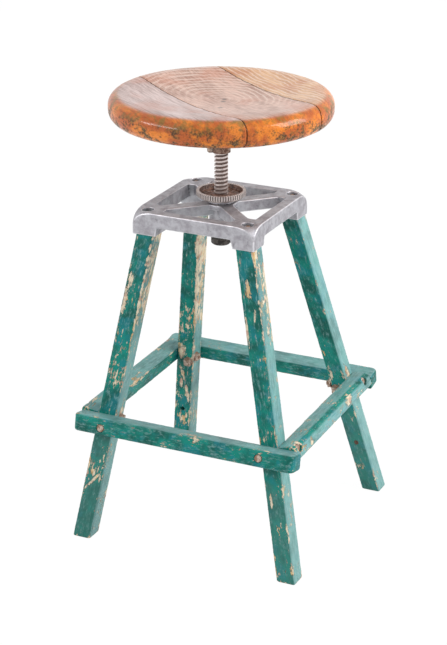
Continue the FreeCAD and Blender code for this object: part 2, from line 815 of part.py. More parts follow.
def shoulder(body):
    """Turn the casting's four top corners down to a quarter-round shoulder."""
    sketch = sketch_on(body, "shoulder", "XZ_Plane")
    drop = worked_out("shoulder_radius")
    start = worked_out("shoulder_start")
    far = start + drop + 12
    low = V(start + drop, -drop, 0)
    top = V(start, 0, 0)
    bend = Part.Arc(low, V(start + drop * 0.7071068, -drop * 0.2928932, 0), top)
    sketch.addGeometry(bend)
    corners = [top, V(start, 1, 0), V(far, 1, 0), V(far, -drop, 0), low]
    for number in range(4):
        sketch.addGeometry(Part.LineSegment(corners[number], corners[number + 1]))
    starts_low = (sketch.Geometry[0].StartPoint - low).Length < 0.01
    sketch.addConstraint(Sketcher.Constraint("Coincident", 0, 2 if starts_low else 1, 1, 1))
    for number in range(1, 4):
        sketch.addConstraint(Sketcher.Constraint("Coincident", number, 2, number + 1, 1))
    sketch.addConstraint(Sketcher.Constraint("Coincident", 4, 2, 0, 1 if starts_low else 2))
    radius = sketch.addConstraint(Sketcher.Constraint("Radius", 0, drop))
    sketch.setExpression("Constraints[%d]" % radius, cell("shoulder_radius"))
    far_formula = "shoulder_start + shoulder_radius + 12"
    places = [
        (1, 1, "shoulder_start", "0"),
        (2, 1, "shoulder_start", "1"),
        (3, 1, far_formula, "1"),
        (4, 1, far_formula, "-shoulder_radius"),
        (4, 2, "shoulder_start + shoulder_radius", "-shoulder_radius"),
    ]
    for line, end, x, y in places:
        for kind, formula in (("DistanceX", x), ("DistanceY", y)):
            value = worked_out(formula)
            index = sketch.addConstraint(Sketcher.Constraint(kind, -1, 1, line, end, value))
            sketch.setExpression("Constraints[%d]" % index, cell(formula))
    return revolve(body, sketch, cut=True)


# The height screw and what rides on it


def thread_cut(body, name, start, height, female=False):
    """Cut a right-handed thread: the screw's groove, or the groove in a nut that clears the screw's ridge."""
    if female:
        inner = "nut_bore - 1"
        outer = "nut_groove"
        root = "(thread_pitch - thread_root_width + 2 * thread_clearance) / 2"
        crest = "(thread_pitch - thread_crest_width + 2 * thread_clearance) / 2"
        step = "((%s) - (%s)) / thread_depth" % (root, crest)
        mouth = "(%s + (%s) * (1 - 0))" % (root, step)
        points = [(inner, "-1 * " + mouth), (outer, "-1 * " + crest), (outer, crest), (inner, mouth)]
    else:
        inner = "thread_root"
        outer = "screw_radius + 1"
        root = "thread_root_width / 2"
        crest = "(thread_crest_width / 2 + thread_flank / thread_depth)"
        points = [(inner, "-1 * " + root), (outer, "-1 * " + crest), (outer, crest), (inner, root)]
    sketch = polygon(sketch_on(body, name, "XZ_Plane", y=start), points)
    helix = body.newObject("PartDesign::SubtractiveHelix", name + "_helix")
    helix.Profile = sketch
    helix.ReferenceAxis = (sketch, ["V_Axis"])
    helix.Mode = 0
    helix.Angle = 0
    bind(helix, Pitch="thread_pitch", Height=height)
    return helix


def height_screw():
    """Build the seat's screw: a coarse thread with a turned-down lower end for its collar."""
    body = turned("height_screw", [
        ("0", "collar_base"), ("screw_end_diameter / 2", "collar_base"),
        ("screw_end_diameter / 2", "collar_top"), ("thread_root", "collar_top"),
        ("screw_radius", "collar_top + thread_depth"), ("screw_radius", "seat_base - 0.5"),
        ("0", "seat_base - 0.5"),
    ], "-frame_lean")
    thread_cut(body, "screw_thread", "thread_start", "flange_boss_base + 1 - thread_start")
    pin_hole(body)
    return body


def pin_hole(body):
    """Drill a collar pin's hole across the screw's axis."""
    hole = body.newObject("PartDesign::SubtractiveCylinder", body.Label + "_pin_hole")
    bind(hole, Radius="pin_diameter / 2", Height="collar_diameter + 2")
    turn = FreeCAD.Rotation(V(0, 0, 1), size("pin_angle")).multiply(FreeCAD.Rotation(V(0, 1, 0), 90))
    start = turn.multVec(V(0, 0, -size("collar_diameter") / 2 - 1))
    hole.Placement = FreeCAD.Placement(start, turn)
    bind(hole, Placement__Base__z="(collar_base + collar_top) / 2")
    return hole


def retaining_collar():
    """Build the collar that stops the screw from being wound out of the spider."""
    outer = "collar_diameter / 2"
    bore = "screw_end_diameter / 2"
    body = turned("retaining_collar", [
        (bore, "collar_base"), (outer + " - collar_edge", "collar_base"),
        (outer, "collar_base + collar_edge"),
        (outer, "collar_top - collar_edge"), (outer + " - collar_edge", "collar_top"), (bore, "collar_top"),
    ], "-frame_lean")
    pin_hole(body)
    return body


def collar_pin():
    """Make the cross pin of the retaining collar."""
    body = new_body("collar_pin")
    radius = "pin_diameter / 2"
    end = "collar_diameter / 2 - pin_recess"
    low = "-1 * (%s)" % end
    polygon(sketch_on(body, "pin_outline", "XZ_Plane"), [("0", low), (radius, low), (radius, end), ("0", end)])
    revolve(body, body.Group[-1])
    turn = FreeCAD.Rotation(V(0, 0, 1), size("pin_angle")).multiply(FreeCAD.Rotation(V(0, 1, 0), 90))
    body.Placement = FreeCAD.Placement(V(0, 0, 0), turn)
    return place(body, "-frame_lean", "0", "(collar_base + collar_top) / 2")


def nut_phase(base):
    """Give where a nut's thread starts, half a pitch off the screw's groove and below the nut's base."""
    turns = "floor((%s - thread_start) / thread_pitch) - 0.5" % base
    return "thread_start + (%s) * thread_pitch - (%s)" % (turns, base)


def hub_bushing():
    """Build the threaded bushing in the spider's hub, with a lip under the hub."""
    outer = "bushing_diameter / 2"
    lip = "hub_diameter / 2"
    top = "boss_top - bushing_base - 0.5"
    body = turned("hub_bushing", [
        ("nut_bore", "0"), (lip, "0"), (lip, "bushing_lip"),
        (outer, "bushing_lip"), (outer, top), ("nut_bore", top),
    ], "-frame_lean", "0", "bushing_base")
    reach = "hub_length + bushing_lip + 2 * thread_pitch"
    thread_cut(body, "bushing_thread", nut_phase("bushing_base"), reach, True)
    return body


def ring(name, diameter, thickness, base):
    """Make a loose washer round the screw."""
    outer = diameter + " / 2"
    bore = "screw_radius + loose_bore_clearance"
    points = [(bore, "0"), (outer, "0"), (outer, thickness), (bore, thickness)]
    return turned(name, points, "-frame_lean", "0", base)


def lock_wheel():
    """Build the dished hand wheel that locks the screw: toothed rim, slotted web and threaded collar."""
    rim = "wheel_diameter / 2"
    inner = "wheel_diameter / 2 - wheel_rim_width"
    collar = "wheel_collar_diameter / 2"
    rim_base = "wheel_height - wheel_rim_height"
    body = turned("lock_wheel", [
        ("nut_bore", "0"), (inner, "0"), (rim + " - wheel_rim_width / 3", rim_base), (rim, rim_base),
        (rim, "wheel_height"), (inner, "wheel_height"),
        (inner, "wheel_web + 1.5"), (inner + " - 1.5", "wheel_web"),
        (collar, "wheel_web"), (collar + " - 1", "wheel_collar_height"), ("nut_bore", "wheel_collar_height"),
    ], "-frame_lean", "0", "wheel_base")
    thread_cut(body, "wheel_thread", nut_phase("wheel_base"), "wheel_height + 2 * thread_pitch", True)
    slot = sketch_on(body, "wheel_slot")
    low = "wheel_slot_radius - wheel_slot_width / 2"
    high = "wheel_slot_radius + wheel_slot_width / 2"
    half = "wheel_slot_length / 2"
    polygon(slot, [("-" + half, low), (half, low), (half + " - 1", high), ("-1 * (" + half + " - 1)", high)])
    polar(body, pocket(body, slot), slot, "wheel_slots")
    notch = sketch_on(body, "wheel_notch")
    mouth = "wheel_diameter * 0.7 / wheel_teeth"
    polygon(notch, [("0", rim + " - tooth_depth"), (mouth, rim + " + 1"), ("-1 * " + mouth, rim + " + 1")])
    polar(body, pocket(body, notch), notch, "wheel_teeth")
    return body


# The seat


def seat_flange():
    """Build the iron flange under the seat, with a boss that grips the screw."""
    plate = "flange_diameter / 2"
    boss = "flange_boss_diameter / 2"
    bore = "screw_radius + flange_clearance"
    top = "flange_boss_length + flange_thickness"
    body = turned("seat_flange", [
        (bore, "0"), (boss, "0"), (boss, "flange_boss_length - 5"), (boss + " + 5", "flange_boss_length"),
        (plate + " - 1.5", "flange_boss_length"), (plate, "flange_boss_length + 1.5"),
        (plate, top), (bore, top),
    ], "-frame_lean", "0", "flange_boss_base")
    hole = sketch_on(body, "flange_screw_hole")
    diagonal = "flange_screw_circle / 2 * sqrt(0.5)"
    circle(hole, "flange_screw_diameter", diagonal, diagonal)
    polar(body, pocket(body, hole), hole, 4)
    drill = body.newObject("PartDesign::SubtractiveCylinder", "set_screw_hole")
    bind(drill, Radius="set_screw_diameter / 2", Height="flange_boss_diameter")
    drill.Placement = FreeCAD.Placement(V(0, 0, 0), set_screw_turn())
    bind(drill, Placement__Base__z="set_screw_height")
    return body


def set_screw_turn():
    """Give the turn from upright to the set screw's outward direction."""
    return FreeCAD.Rotation(V(0, 0, 1), size("set_screw_angle")).multiply(FreeCAD.Rotation(V(0, 1, 0), 90))


def flange_set_screw():
    """Build the set screw that grips the height screw through the flange's boss."""
    head = "set_screw_head / 2"
    shank = "set_screw_diameter / 2"
    seat = "flange_boss_diameter / 2"
    end = seat + " + set_screw_head_thickness"
    tip = "screw_radius"
    body = new_body("flange_set_screw")
    polygon(sketch_on(body, "set_screw_outline", "XZ_Plane"), [
        ("0", tip), (shank, tip), (shank, seat), (head, seat),
        (head, end + " - set_screw_head_thickness / 3"), (head + " * 0.7", end), ("0", end),
    ])
    revolve(body, body.Group[-1])
    body.Placement = FreeCAD.Placement(V(0, 0, 0), set_screw_turn())
    return place(body, "-frame_lean", "0", "flange_boss_base + set_screw_height")


def flange_screws():
    """Make the four wood screws that hold the flange to the seat."""
    pieces = []
    shank = "flange_screw_diameter / 2"
    head = "flange_screw_head / 2"
    under = "flange_base - flange_screw_head_thickness"
    tip = "flange_base + flange_screw_length"
    reach = "flange_screw_circle / 2 * sqrt(0.5)"
    for number, (right, back) in enumerate(LEGS.values(), 1):
        points = [("0", under), (head + " * 0.6", under), (head, "flange_base - 1"), (head, "flange_base"),
                  (shank, "flange_base"), (shank, tip + " - 5"), ("0", tip)]
        x = "-frame_lean + %d * (%s)" % (right, reach)
        pieces.append(turned("flange_screw_%d" % number, points, x, "%d * (%s)" % (back, reach)))
    return group("flange_screws", pieces)


def seat_board(name, low, high):
    """Build one of the seat's glued boards: the round dished seat between two joints across it."""
    radius = "seat_diameter / 2"
    body = turned("seat_board_" + name, [
        ("0", "0"), (radius, "0"), (radius, "seat_thickness"), ("0", "seat_thickness"),
    ], "-frame_lean", "0", "seat_base")
    rim = edges_where(body, lambda edge: not is_line(edge))
    round_edges(body, rim, "seat_rim_radius")
    dish = body.newObject("PartDesign::SubtractiveSphere", name + "_dish")
    bind(dish, Radius="dish_radius")
    place(dish, "0", "0", "seat_thickness - seat_dish + dish_radius")
    far = "seat_diameter"
    for cut_name, near, sign in (("_front_cut", low, "-1 * "), ("_rear_cut", high, "")):
        if near is None:
            continue
        cut = sketch_on(body, name + cut_name, turn="-board_angle")
        wide = sign + far
        polygon(cut, [("-1 * " + far, near), (far, near), (far, wide), ("-1 * " + far, wide)])
        pocket(body, cut)
    if name == "middle":
        for number, (right, back) in enumerate(LEGS.values(), 1):
            hole = body.newObject("PartDesign::SubtractiveCylinder", "seat_screw_hole_%d" % number)
            bind(hole, Radius="flange_screw_diameter / 2", Height="flange_screw_length")
            reach = "flange_screw_circle / 2 * sqrt(0.5)"
            place(hole, "%d * (%s)" % (right, reach), "%d * (%s)" % (back, reach), "flange_base - seat_base")
    return body


def checked(nodes):
    """Stop if any feature failed or any piece is empty, invalid or not the solids it should be."""
    doc.recompute()
    for item in doc.Objects:
        if "Invalid" in item.State or "Error" in item.State:
            raise RuntimeError("failed feature: " + item.Name)
    for node in nodes:
        shape = node.Shape
        if shape.isNull() or not shape.isValid() or not shape.Solids:
            raise RuntimeError("bad shape: " + node.Label)
        expected = len(node.Links) if hasattr(node, "Links") else 1
        if len(shape.Solids) != expected:
            raise RuntimeError("%s has %d solids" % (node.Label, len(shape.Solids)))
    return nodes


def main():
    """Build every piece, check it and write one file for each node."""
    nodes = [leg_body(corner) for corner in LEGS]
    nodes += [long_stretcher("front"), long_stretcher("rear")]
    nodes += [side_stretcher("left"), side_stretcher("right")]
    nodes += frame_fasteners()
    nodes += [nail(), leg_plug(), head_screws()]
    nodes += [spider_casting(), hub_bushing()]
    nodes += [
        ring("wheel_washer", "wheel_washer_diameter", "wheel_washer_thickness", "boss_top"),
        lock_wheel(),
        ring("stop_washer", "stop_washer_diameter", "stop_washer_thickness",
             "washer_top - stop_washer_thickness"),
    ]
    nodes += [height_screw(), retaining_collar(), collar_pin()]
    nodes += [seat_flange(), flange_set_screw(), flange_screws()]
    nodes += [
        seat_board("front", None, "-front_joint"),
        seat_board("middle", "-front_joint", "rear_joint"),
        seat_board("rear", "rear_joint", None),
    ]
    checked(nodes)
    os.makedirs("parts", exist_ok=True)
    for node in nodes:
        node.Shape.exportStep("parts/%s.step" % node.Label)
        print("%-20s %2d solids, %.1f cm3" % (node.Label, len(node.Shape.Solids), node.Shape.Volume / 1000))


main()
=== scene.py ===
"""Dresses the machinist stool: worn paint, varnished boards, cast aluminium and rusty steel.

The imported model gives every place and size. Wooden and cast pieces are replaced by softened, worn
copies of their own solids. The metal pieces keep their solids and get finishes.
"""

from __future__ import annotations

import json
import logging
import math
from dataclasses import dataclass, field
from enum import Enum

import bpy
import numpy as np
from mathutils import Matrix, Vector

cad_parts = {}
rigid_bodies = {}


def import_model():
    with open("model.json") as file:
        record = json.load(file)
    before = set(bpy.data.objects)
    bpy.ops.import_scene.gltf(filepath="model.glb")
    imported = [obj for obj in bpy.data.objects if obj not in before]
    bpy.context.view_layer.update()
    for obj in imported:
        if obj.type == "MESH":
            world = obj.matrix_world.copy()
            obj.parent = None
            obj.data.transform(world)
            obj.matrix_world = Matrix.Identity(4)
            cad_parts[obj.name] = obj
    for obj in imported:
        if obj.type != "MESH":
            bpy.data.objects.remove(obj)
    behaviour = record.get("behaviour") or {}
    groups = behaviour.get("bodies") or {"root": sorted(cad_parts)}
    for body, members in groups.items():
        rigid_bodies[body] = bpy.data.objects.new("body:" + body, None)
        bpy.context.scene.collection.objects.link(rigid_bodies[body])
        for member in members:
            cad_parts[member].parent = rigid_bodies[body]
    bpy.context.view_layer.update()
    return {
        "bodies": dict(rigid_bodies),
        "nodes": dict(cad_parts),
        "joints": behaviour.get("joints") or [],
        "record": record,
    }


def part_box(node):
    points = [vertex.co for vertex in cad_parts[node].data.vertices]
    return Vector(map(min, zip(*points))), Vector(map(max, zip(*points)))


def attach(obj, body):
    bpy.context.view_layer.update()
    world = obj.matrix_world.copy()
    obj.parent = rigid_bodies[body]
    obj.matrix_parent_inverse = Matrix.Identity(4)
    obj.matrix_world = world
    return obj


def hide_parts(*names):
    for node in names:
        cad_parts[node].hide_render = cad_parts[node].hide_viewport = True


LOG = logging.getLogger("stool")
Colour = tuple[float, float, float]
Triple = tuple[float, float, float]


def paint_chip(red: int, green: int, blue: int) -> Colour:
    """Turns a colour as seen on a screen, 0 to 255, into linear light.

    Args:
        red: The red share.
        green: The green share.
        blue: The blue share.

    Returns:
        The colour as three linear values.
    """
    return tuple((part / 255 / 12.92) if part < 11 else ((part / 255 + 0.055) / 1.055) ** 2.4
                 for part in (red, green, blue))


class Strand:
    """One output among a finish's nodes, on which Python's arithmetic adds Math nodes."""

    def __init__(self, finish: "Finish", socket: bpy.types.NodeSocket) -> None:
        """Keeps the output and the finish that it belongs to."""
        self.finish = finish
        self.socket = socket

    def _math(self, operation: str, *values: "Strand | float") -> "Strand":
        """Adds a Math node for an operation on this output's finish."""
        return self.finish.math(operation, *values)

    def __add__(self, other: "Strand | float") -> "Strand":
        """Adds."""
        return self._math("ADD", self, other)

    def __radd__(self, other: float) -> "Strand":
        """Adds, with the number first."""
        return self._math("ADD", other, self)

    def __sub__(self, other: "Strand | float") -> "Strand":
        """Subtracts."""
        return self._math("SUBTRACT", self, other)

    def __rsub__(self, other: float) -> "Strand":
        """Subtracts from a number."""
        return self._math("SUBTRACT", other, self)

    def __mul__(self, other: "Strand | float") -> "Strand":
        """Multiplies."""
        return self._math("MULTIPLY", self, other)

    def __rmul__(self, other: float) -> "Strand":
        """Multiplies, with the number first."""
        return self._math("MULTIPLY", other, self)

    def __truediv__(self, other: "Strand | float") -> "Strand":
        """Divides."""
        return self._math("DIVIDE", self, other)

    def __pow__(self, other: float) -> "Strand":
        """Raises to a power."""
        return self._math("POWER", self, other)

    def size(self) -> "Strand":
        """Gives the value without its sign."""
        return self._math("ABSOLUTE", self)

    def least(self, other: "Strand | float") -> "Strand":
        """Gives the smaller of two values."""
        return self._math("MINIMUM", self, other)

    def most(self, other: "Strand | float") -> "Strand":
        """Gives the larger of two values."""
        return self._math("MAXIMUM", self, other)

    def root(self) -> "Strand":
        """Gives the square root."""
        return self._math("SQRT", self)

    def rise(self, low: float, high: float) -> "Strand":
        """Goes smoothly from 0 to 1 as the value goes from low to high.

        Args:
            low: The value that gives 0.
            high: The value that gives 1, which may be the lower one.

        Returns:
            The smoothed mask.
        """
        return self.finish.node("ShaderNodeMapRange", {"interpolation_type": "SMOOTHSTEP"},
                                {"Value": self, "From Min": low, "From Max": high})


Number = Strand | float
Tint = Strand | Colour


class Finish:
    """A material under construction, with one method for any node and a few for common ones."""

    def __init__(self, name: str) -> None:
        """Starts an empty material.

        Args:
            name: The material's name.
        """
        self.material = bpy.data.materials.new(name)
        self.material.use_nodes = True
        self.tree = self.material.node_tree
        self.tree.nodes.clear()

    def node(self, kind: str, settings: dict | None = None, sockets: dict | None = None,
             output: int | str = 0) -> Strand:
        """Adds a node of any type.

        Args:
            kind: The node's type.
            settings: Its settings, set first.
            sockets: Values or links of its sockets, by name or number.
            output: The output to give back.

        Returns:
            That output.
        """
        made = self.tree.nodes.new(kind)
        for name, value in (settings or {}).items():
            setattr(made, name, value)
        for name, value in (sockets or {}).items():
            socket = made.inputs[name]
            if isinstance(value, Strand):
                self.tree.links.new(value.socket, socket)
            elif isinstance(value, tuple) and len(value) == 3 and len(socket.default_value) == 4:
                socket.default_value = (*value, 1.0)
            else:
                socket.default_value = value
        return Strand(self, made.outputs[output])

    def math(self, operation: str, *values: Number) -> Strand:
        """Adds a Math node."""
        return self.node("ShaderNodeMath", {"operation": operation}, dict(enumerate(values)))

    def mix(self, share: Number, first: Tint, second: Tint) -> Strand:
        """Mixes two colours by a share of the second."""
        return self.node("ShaderNodeMix", {"data_type": "RGBA", "clamp_factor": True},
                         {0: share, 6: first, 7: second}, 2)

    def place(self) -> Strand:
        """Gives the point on the piece, in metres."""
        return self.node("ShaderNodeTexCoord", output="Object")

    def mark(self, name: str) -> Strand:
        """Gives a vector that the mesh carries."""
        return self.node("ShaderNodeAttribute", {"attribute_name": name}, output="Vector")

    def parts(self, vector: Strand) -> tuple[Strand, Strand, Strand]:
        """Splits a vector into its three numbers."""
        split = self.node("ShaderNodeSeparateXYZ", None, {0: vector})
        outputs = split.socket.node.outputs
        return tuple(Strand(self, outputs[number]) for number in range(3))

    def vector(self, x: Number, y: Number, z: Number) -> Strand:
        """Joins three numbers into a vector."""
        return self.node("ShaderNodeCombineXYZ", None, {0: x, 1: y, 2: z})

    def stretched(self, vector: Strand, scale: Triple, shift: Triple = (0.0, 0.0, 0.0),
                  turn: Triple = (0.0, 0.0, 0.0)) -> Strand:
        """Turns, stretches and shifts a vector.

        Args:
            vector: The vector.
            scale: How much it grows along each axis.
            shift: What is added.
            turn: Its turn about each axis, in radians.

        Returns:
            The mapped vector.
        """
        return self.node("ShaderNodeMapping", None,
                         {"Vector": vector, "Scale": scale, "Location": shift, "Rotation": turn})

    def noise(self, vector: Strand, scale: float, detail: float = 4.0,
              roughness: float = 0.55) -> Strand:
        """Gives a cloudy pattern, about 0 to 1."""
        return self.node("ShaderNodeTexNoise", None,
                         {"Vector": vector, "Scale": scale, "Detail": detail, "Roughness": roughness})

    def bump(self, height: Strand, depth: float) -> Strand:
        """Tilts the surface by a height pattern.

        Args:
            height: The pattern.
            depth: How deep a full step of it is, in metres.

        Returns:
            The normal.
        """
        return self.node("ShaderNodeBump", None, {"Height": height, "Distance": depth})

    def surface(self, **sockets: Number | Tint) -> bpy.types.Material:
        """Ends the material with its surface.

        Args:
            **sockets: The surface's sockets, with underscores for spaces.

        Returns:
            The material.
        """
        named = {name.replace("_", " "): value for name, value in sockets.items()}
        shader = self.node("ShaderNodeBsdfPrincipled", None, named)
        self.node_end(shader)
        return self.material

    def node_end(self, shader: Strand) -> None:
        """Joins a shader to the material's output."""
        end = self.tree.nodes.new("ShaderNodeOutputMaterial")
        self.tree.links.new(shader.socket, end.inputs["Surface"])


class Face(Enum):
    """The bars' faces that get painted sheen or wear of their own: which of a bar's coordinates they face,
    and which way.
    """

    RIGHT = (0, 1)
    REAR = (1, 1)
    FRONT = (1, -1)
    OUTER = RIGHT
    TOP = REAR


@dataclass(frozen=True)
class Chip:
    """A place where paint is lost from a bar's face: its centre and half sizes, in metres."""

    face: Face
    along: float
    across: float
    half_length: float
    half_width: float
    lean: float = 0.0


@dataclass(frozen=True)
class PaintJob:
    """What sets one bar's paint apart: its pattern, its loss, its faces washed pale by painted sheen (on the
    tops also by wear), and its worst places.
    """

    seed: float
    loss: float = 0.4
    # Faces washed pale with painted sheen; on the stretchers' tops this also stands for foot wear.
    sheen_and_wear_faces: tuple[Face, ...] = (Face.RIGHT,)
    scuffed_below: float = 0.0
    bared_above: float = 9.0
    chips: tuple[Chip, ...] = ()


@dataclass(frozen=True)
class WornPaint:
    """Old teal paint over pale wood, worn where feet reach it, chipped and scratched, with painted sheen on
    the faces turned to the lamps.
    """

    bar_half: float = 0.016
    face_half: float = 0.0158
    grain_draw: float = 0.16
    flake_draw: float = 0.5
    teal: Colour = paint_chip(0, 130, 116)
    blue: Colour = paint_chip(12, 122, 132)
    deep: Colour = paint_chip(0, 84, 74)
    # Pale teal of chalky, rubbed paint, also used as the painted sheen on lamp-facing faces.
    chalk_and_sheen: Colour = paint_chip(146, 184, 184)
    scuffed: Colour = paint_chip(72, 122, 114)
    cream: Colour = paint_chip(222, 208, 182)
    rosy: Colour = paint_chip(184, 140, 124)
    tan: Colour = paint_chip(204, 164, 96)
    grime: Colour = paint_chip(70, 66, 56)

    def material(self, name: str, job: PaintJob) -> bpy.types.Material:
        """Builds the paint for one bar.

        Args:
            name: The material's name.
            job: What sets this bar apart.

        Returns:
            The material.
        """
        make = Finish(name)
        side, front, along = make.parts(make.mark("bar"))
        edge, _, _ = make.parts(make.mark("worn"))
        x, y = side * self.bar_half + job.seed, front * self.bar_half
        grained = make.vector(x, y, along * self.grain_draw)
        even = make.vector(x, y, along)
        streaks = make.noise(grained, 300, 5, 0.65)
        fibres = make.noise(grained, 1100, 3, 0.6)
        patches = make.noise(even, 26, 4, 0.6)
        flakes = make.noise(make.vector(x, y, along * self.flake_draw), 230, 6, 0.74)
        specks = make.noise(even, 560, 2, 0.5)
        bare = self.losses(job, (side, front, along), (edge, streaks, patches, flakes))
        paint = make.mix(patches.rise(0.36, 0.62), self.deep, self.teal)
        paint = make.mix(make.noise(even, 44, 3, 0.5).rise(0.5, 0.66) * 0.6, paint, self.blue)
        paint = make.mix(streaks.rise(0.52, 0.72) * 0.55, paint, self.deep)
        paint = make.mix((flakes + streaks * 0.5).rise(0.74, 0.96) * 0.5, paint, self.chalk_and_sheen)
        if job.scuffed_below:
            low = (along + (patches - 0.5) * 0.1).rise(job.scuffed_below, job.scuffed_below - 0.03)
            paint = make.mix(low * (0.2 + streaks * 0.5), paint, self.scuffed)
        # Painted sheen: the faces turned to the lamps are washed pale, and on the tops this also stands for
        # foot wear.
        for face in job.sheen_and_wear_faces:
            lit = ((side, front)[face.value[0]] * face.value[1]).rise(0.84, 0.97)
            sheen_and_wear_wash = lit * (0.52 + (patches - 0.5) * 0.8 + (streaks - 0.5) * 1.1)
            paint = make.mix(sheen_and_wear_wash, paint, self.chalk_and_sheen)
        rubbed = (edge + (streaks - 0.5) * 1.8 + (flakes - 0.5) * 1.4).rise(0.50, 0.90)
        paint = make.mix(rubbed * 0.55, paint, self.chalk_and_sheen)
        soft = bare.rise(0.05, 0.5)
        paint = make.mix((soft - bare).most(0.0) * 0.45, paint, self.grime)
        tint = make.noise(even, 70, 3, 0.6)
        wood = make.mix(tint.rise(0.5, 0.62) * 0.7, self.cream, self.rosy)
        wood = make.mix(make.noise(grained, 120, 3, 0.6).rise(0.52, 0.64) * 0.7, wood, self.tan)
        wood = make.mix(fibres.rise(0.5, 0.72) * 0.55, wood, self.grime)
        colour = make.mix(bare.rise(0.4, 0.7), paint, wood)
        colour = make.mix(specks.rise(0.735, 0.77) * 0.85, colour, self.cream)
        colour = make.mix(specks.rise(0.275, 0.24) * 0.6, colour, self.grime)
        height = streaks * 0.3 + fibres * 0.25 - bare * 0.9
        return make.surface(Base_Color=colour, Roughness=0.33 + bare * 0.3 + streaks * 0.2,
                            Specular_IOR_Level=0.2, Normal=make.bump(height, 0.0009))

    def losses(self, job: PaintJob, place: tuple[Strand, ...],
               wear: tuple[Strand, ...]) -> Strand:
        """Masks where the paint is gone.

        Args:
            job: What sets this bar apart.
            place: The bar's own three coordinates.
            wear: How sharp the edge is here, and the patterns of streaks, patches and flakes.

        Returns:
            The mask, with a soft rim.
        """
        edge, streaks, patches, flakes = wear
        worn = edge * 0.46 + (flakes - 0.5) * 1.4 + (patches - 0.5) * 1.5 + (streaks - 0.5) * 1.1
        stripped = place[2].rise(job.bared_above - 0.05, job.bared_above + 0.03) * place[0].rise(0.6, 0.9)
        worn = worn + stripped * 0.30
        bare = worn.rise(0.44 - 0.30 * job.loss, 0.52 - 0.30 * job.loss)
        for chip in job.chips:
            axis, sign = chip.face.value
            facing, across = place[axis] * sign, place[1 - axis]
            run = place[2] - chip.along
            drift = across * self.face_half - chip.across - run * chip.lean
            reach = (run / chip.half_length) ** 2.0 + (drift / chip.half_width) ** 2.0
            ragged = reach + (flakes - 0.5) * 7.0 + (streaks - 0.5) * 4.0
            bare = bare.most(ragged.rise(1.3, 0.6) * facing.rise(0.80, 0.9))
        return bare


@dataclass(frozen=True)
class BoardGrain:
    """A board's rings: their centre, how far they stretch along it, how far apart they are, and its tones,
    made pale by painted sheen.
    """

    heart: tuple[float, float]
    stretch: float
    spacing: float
    light: Colour
    dark: Colour
    knots: tuple[tuple[float, float], ...] = ()


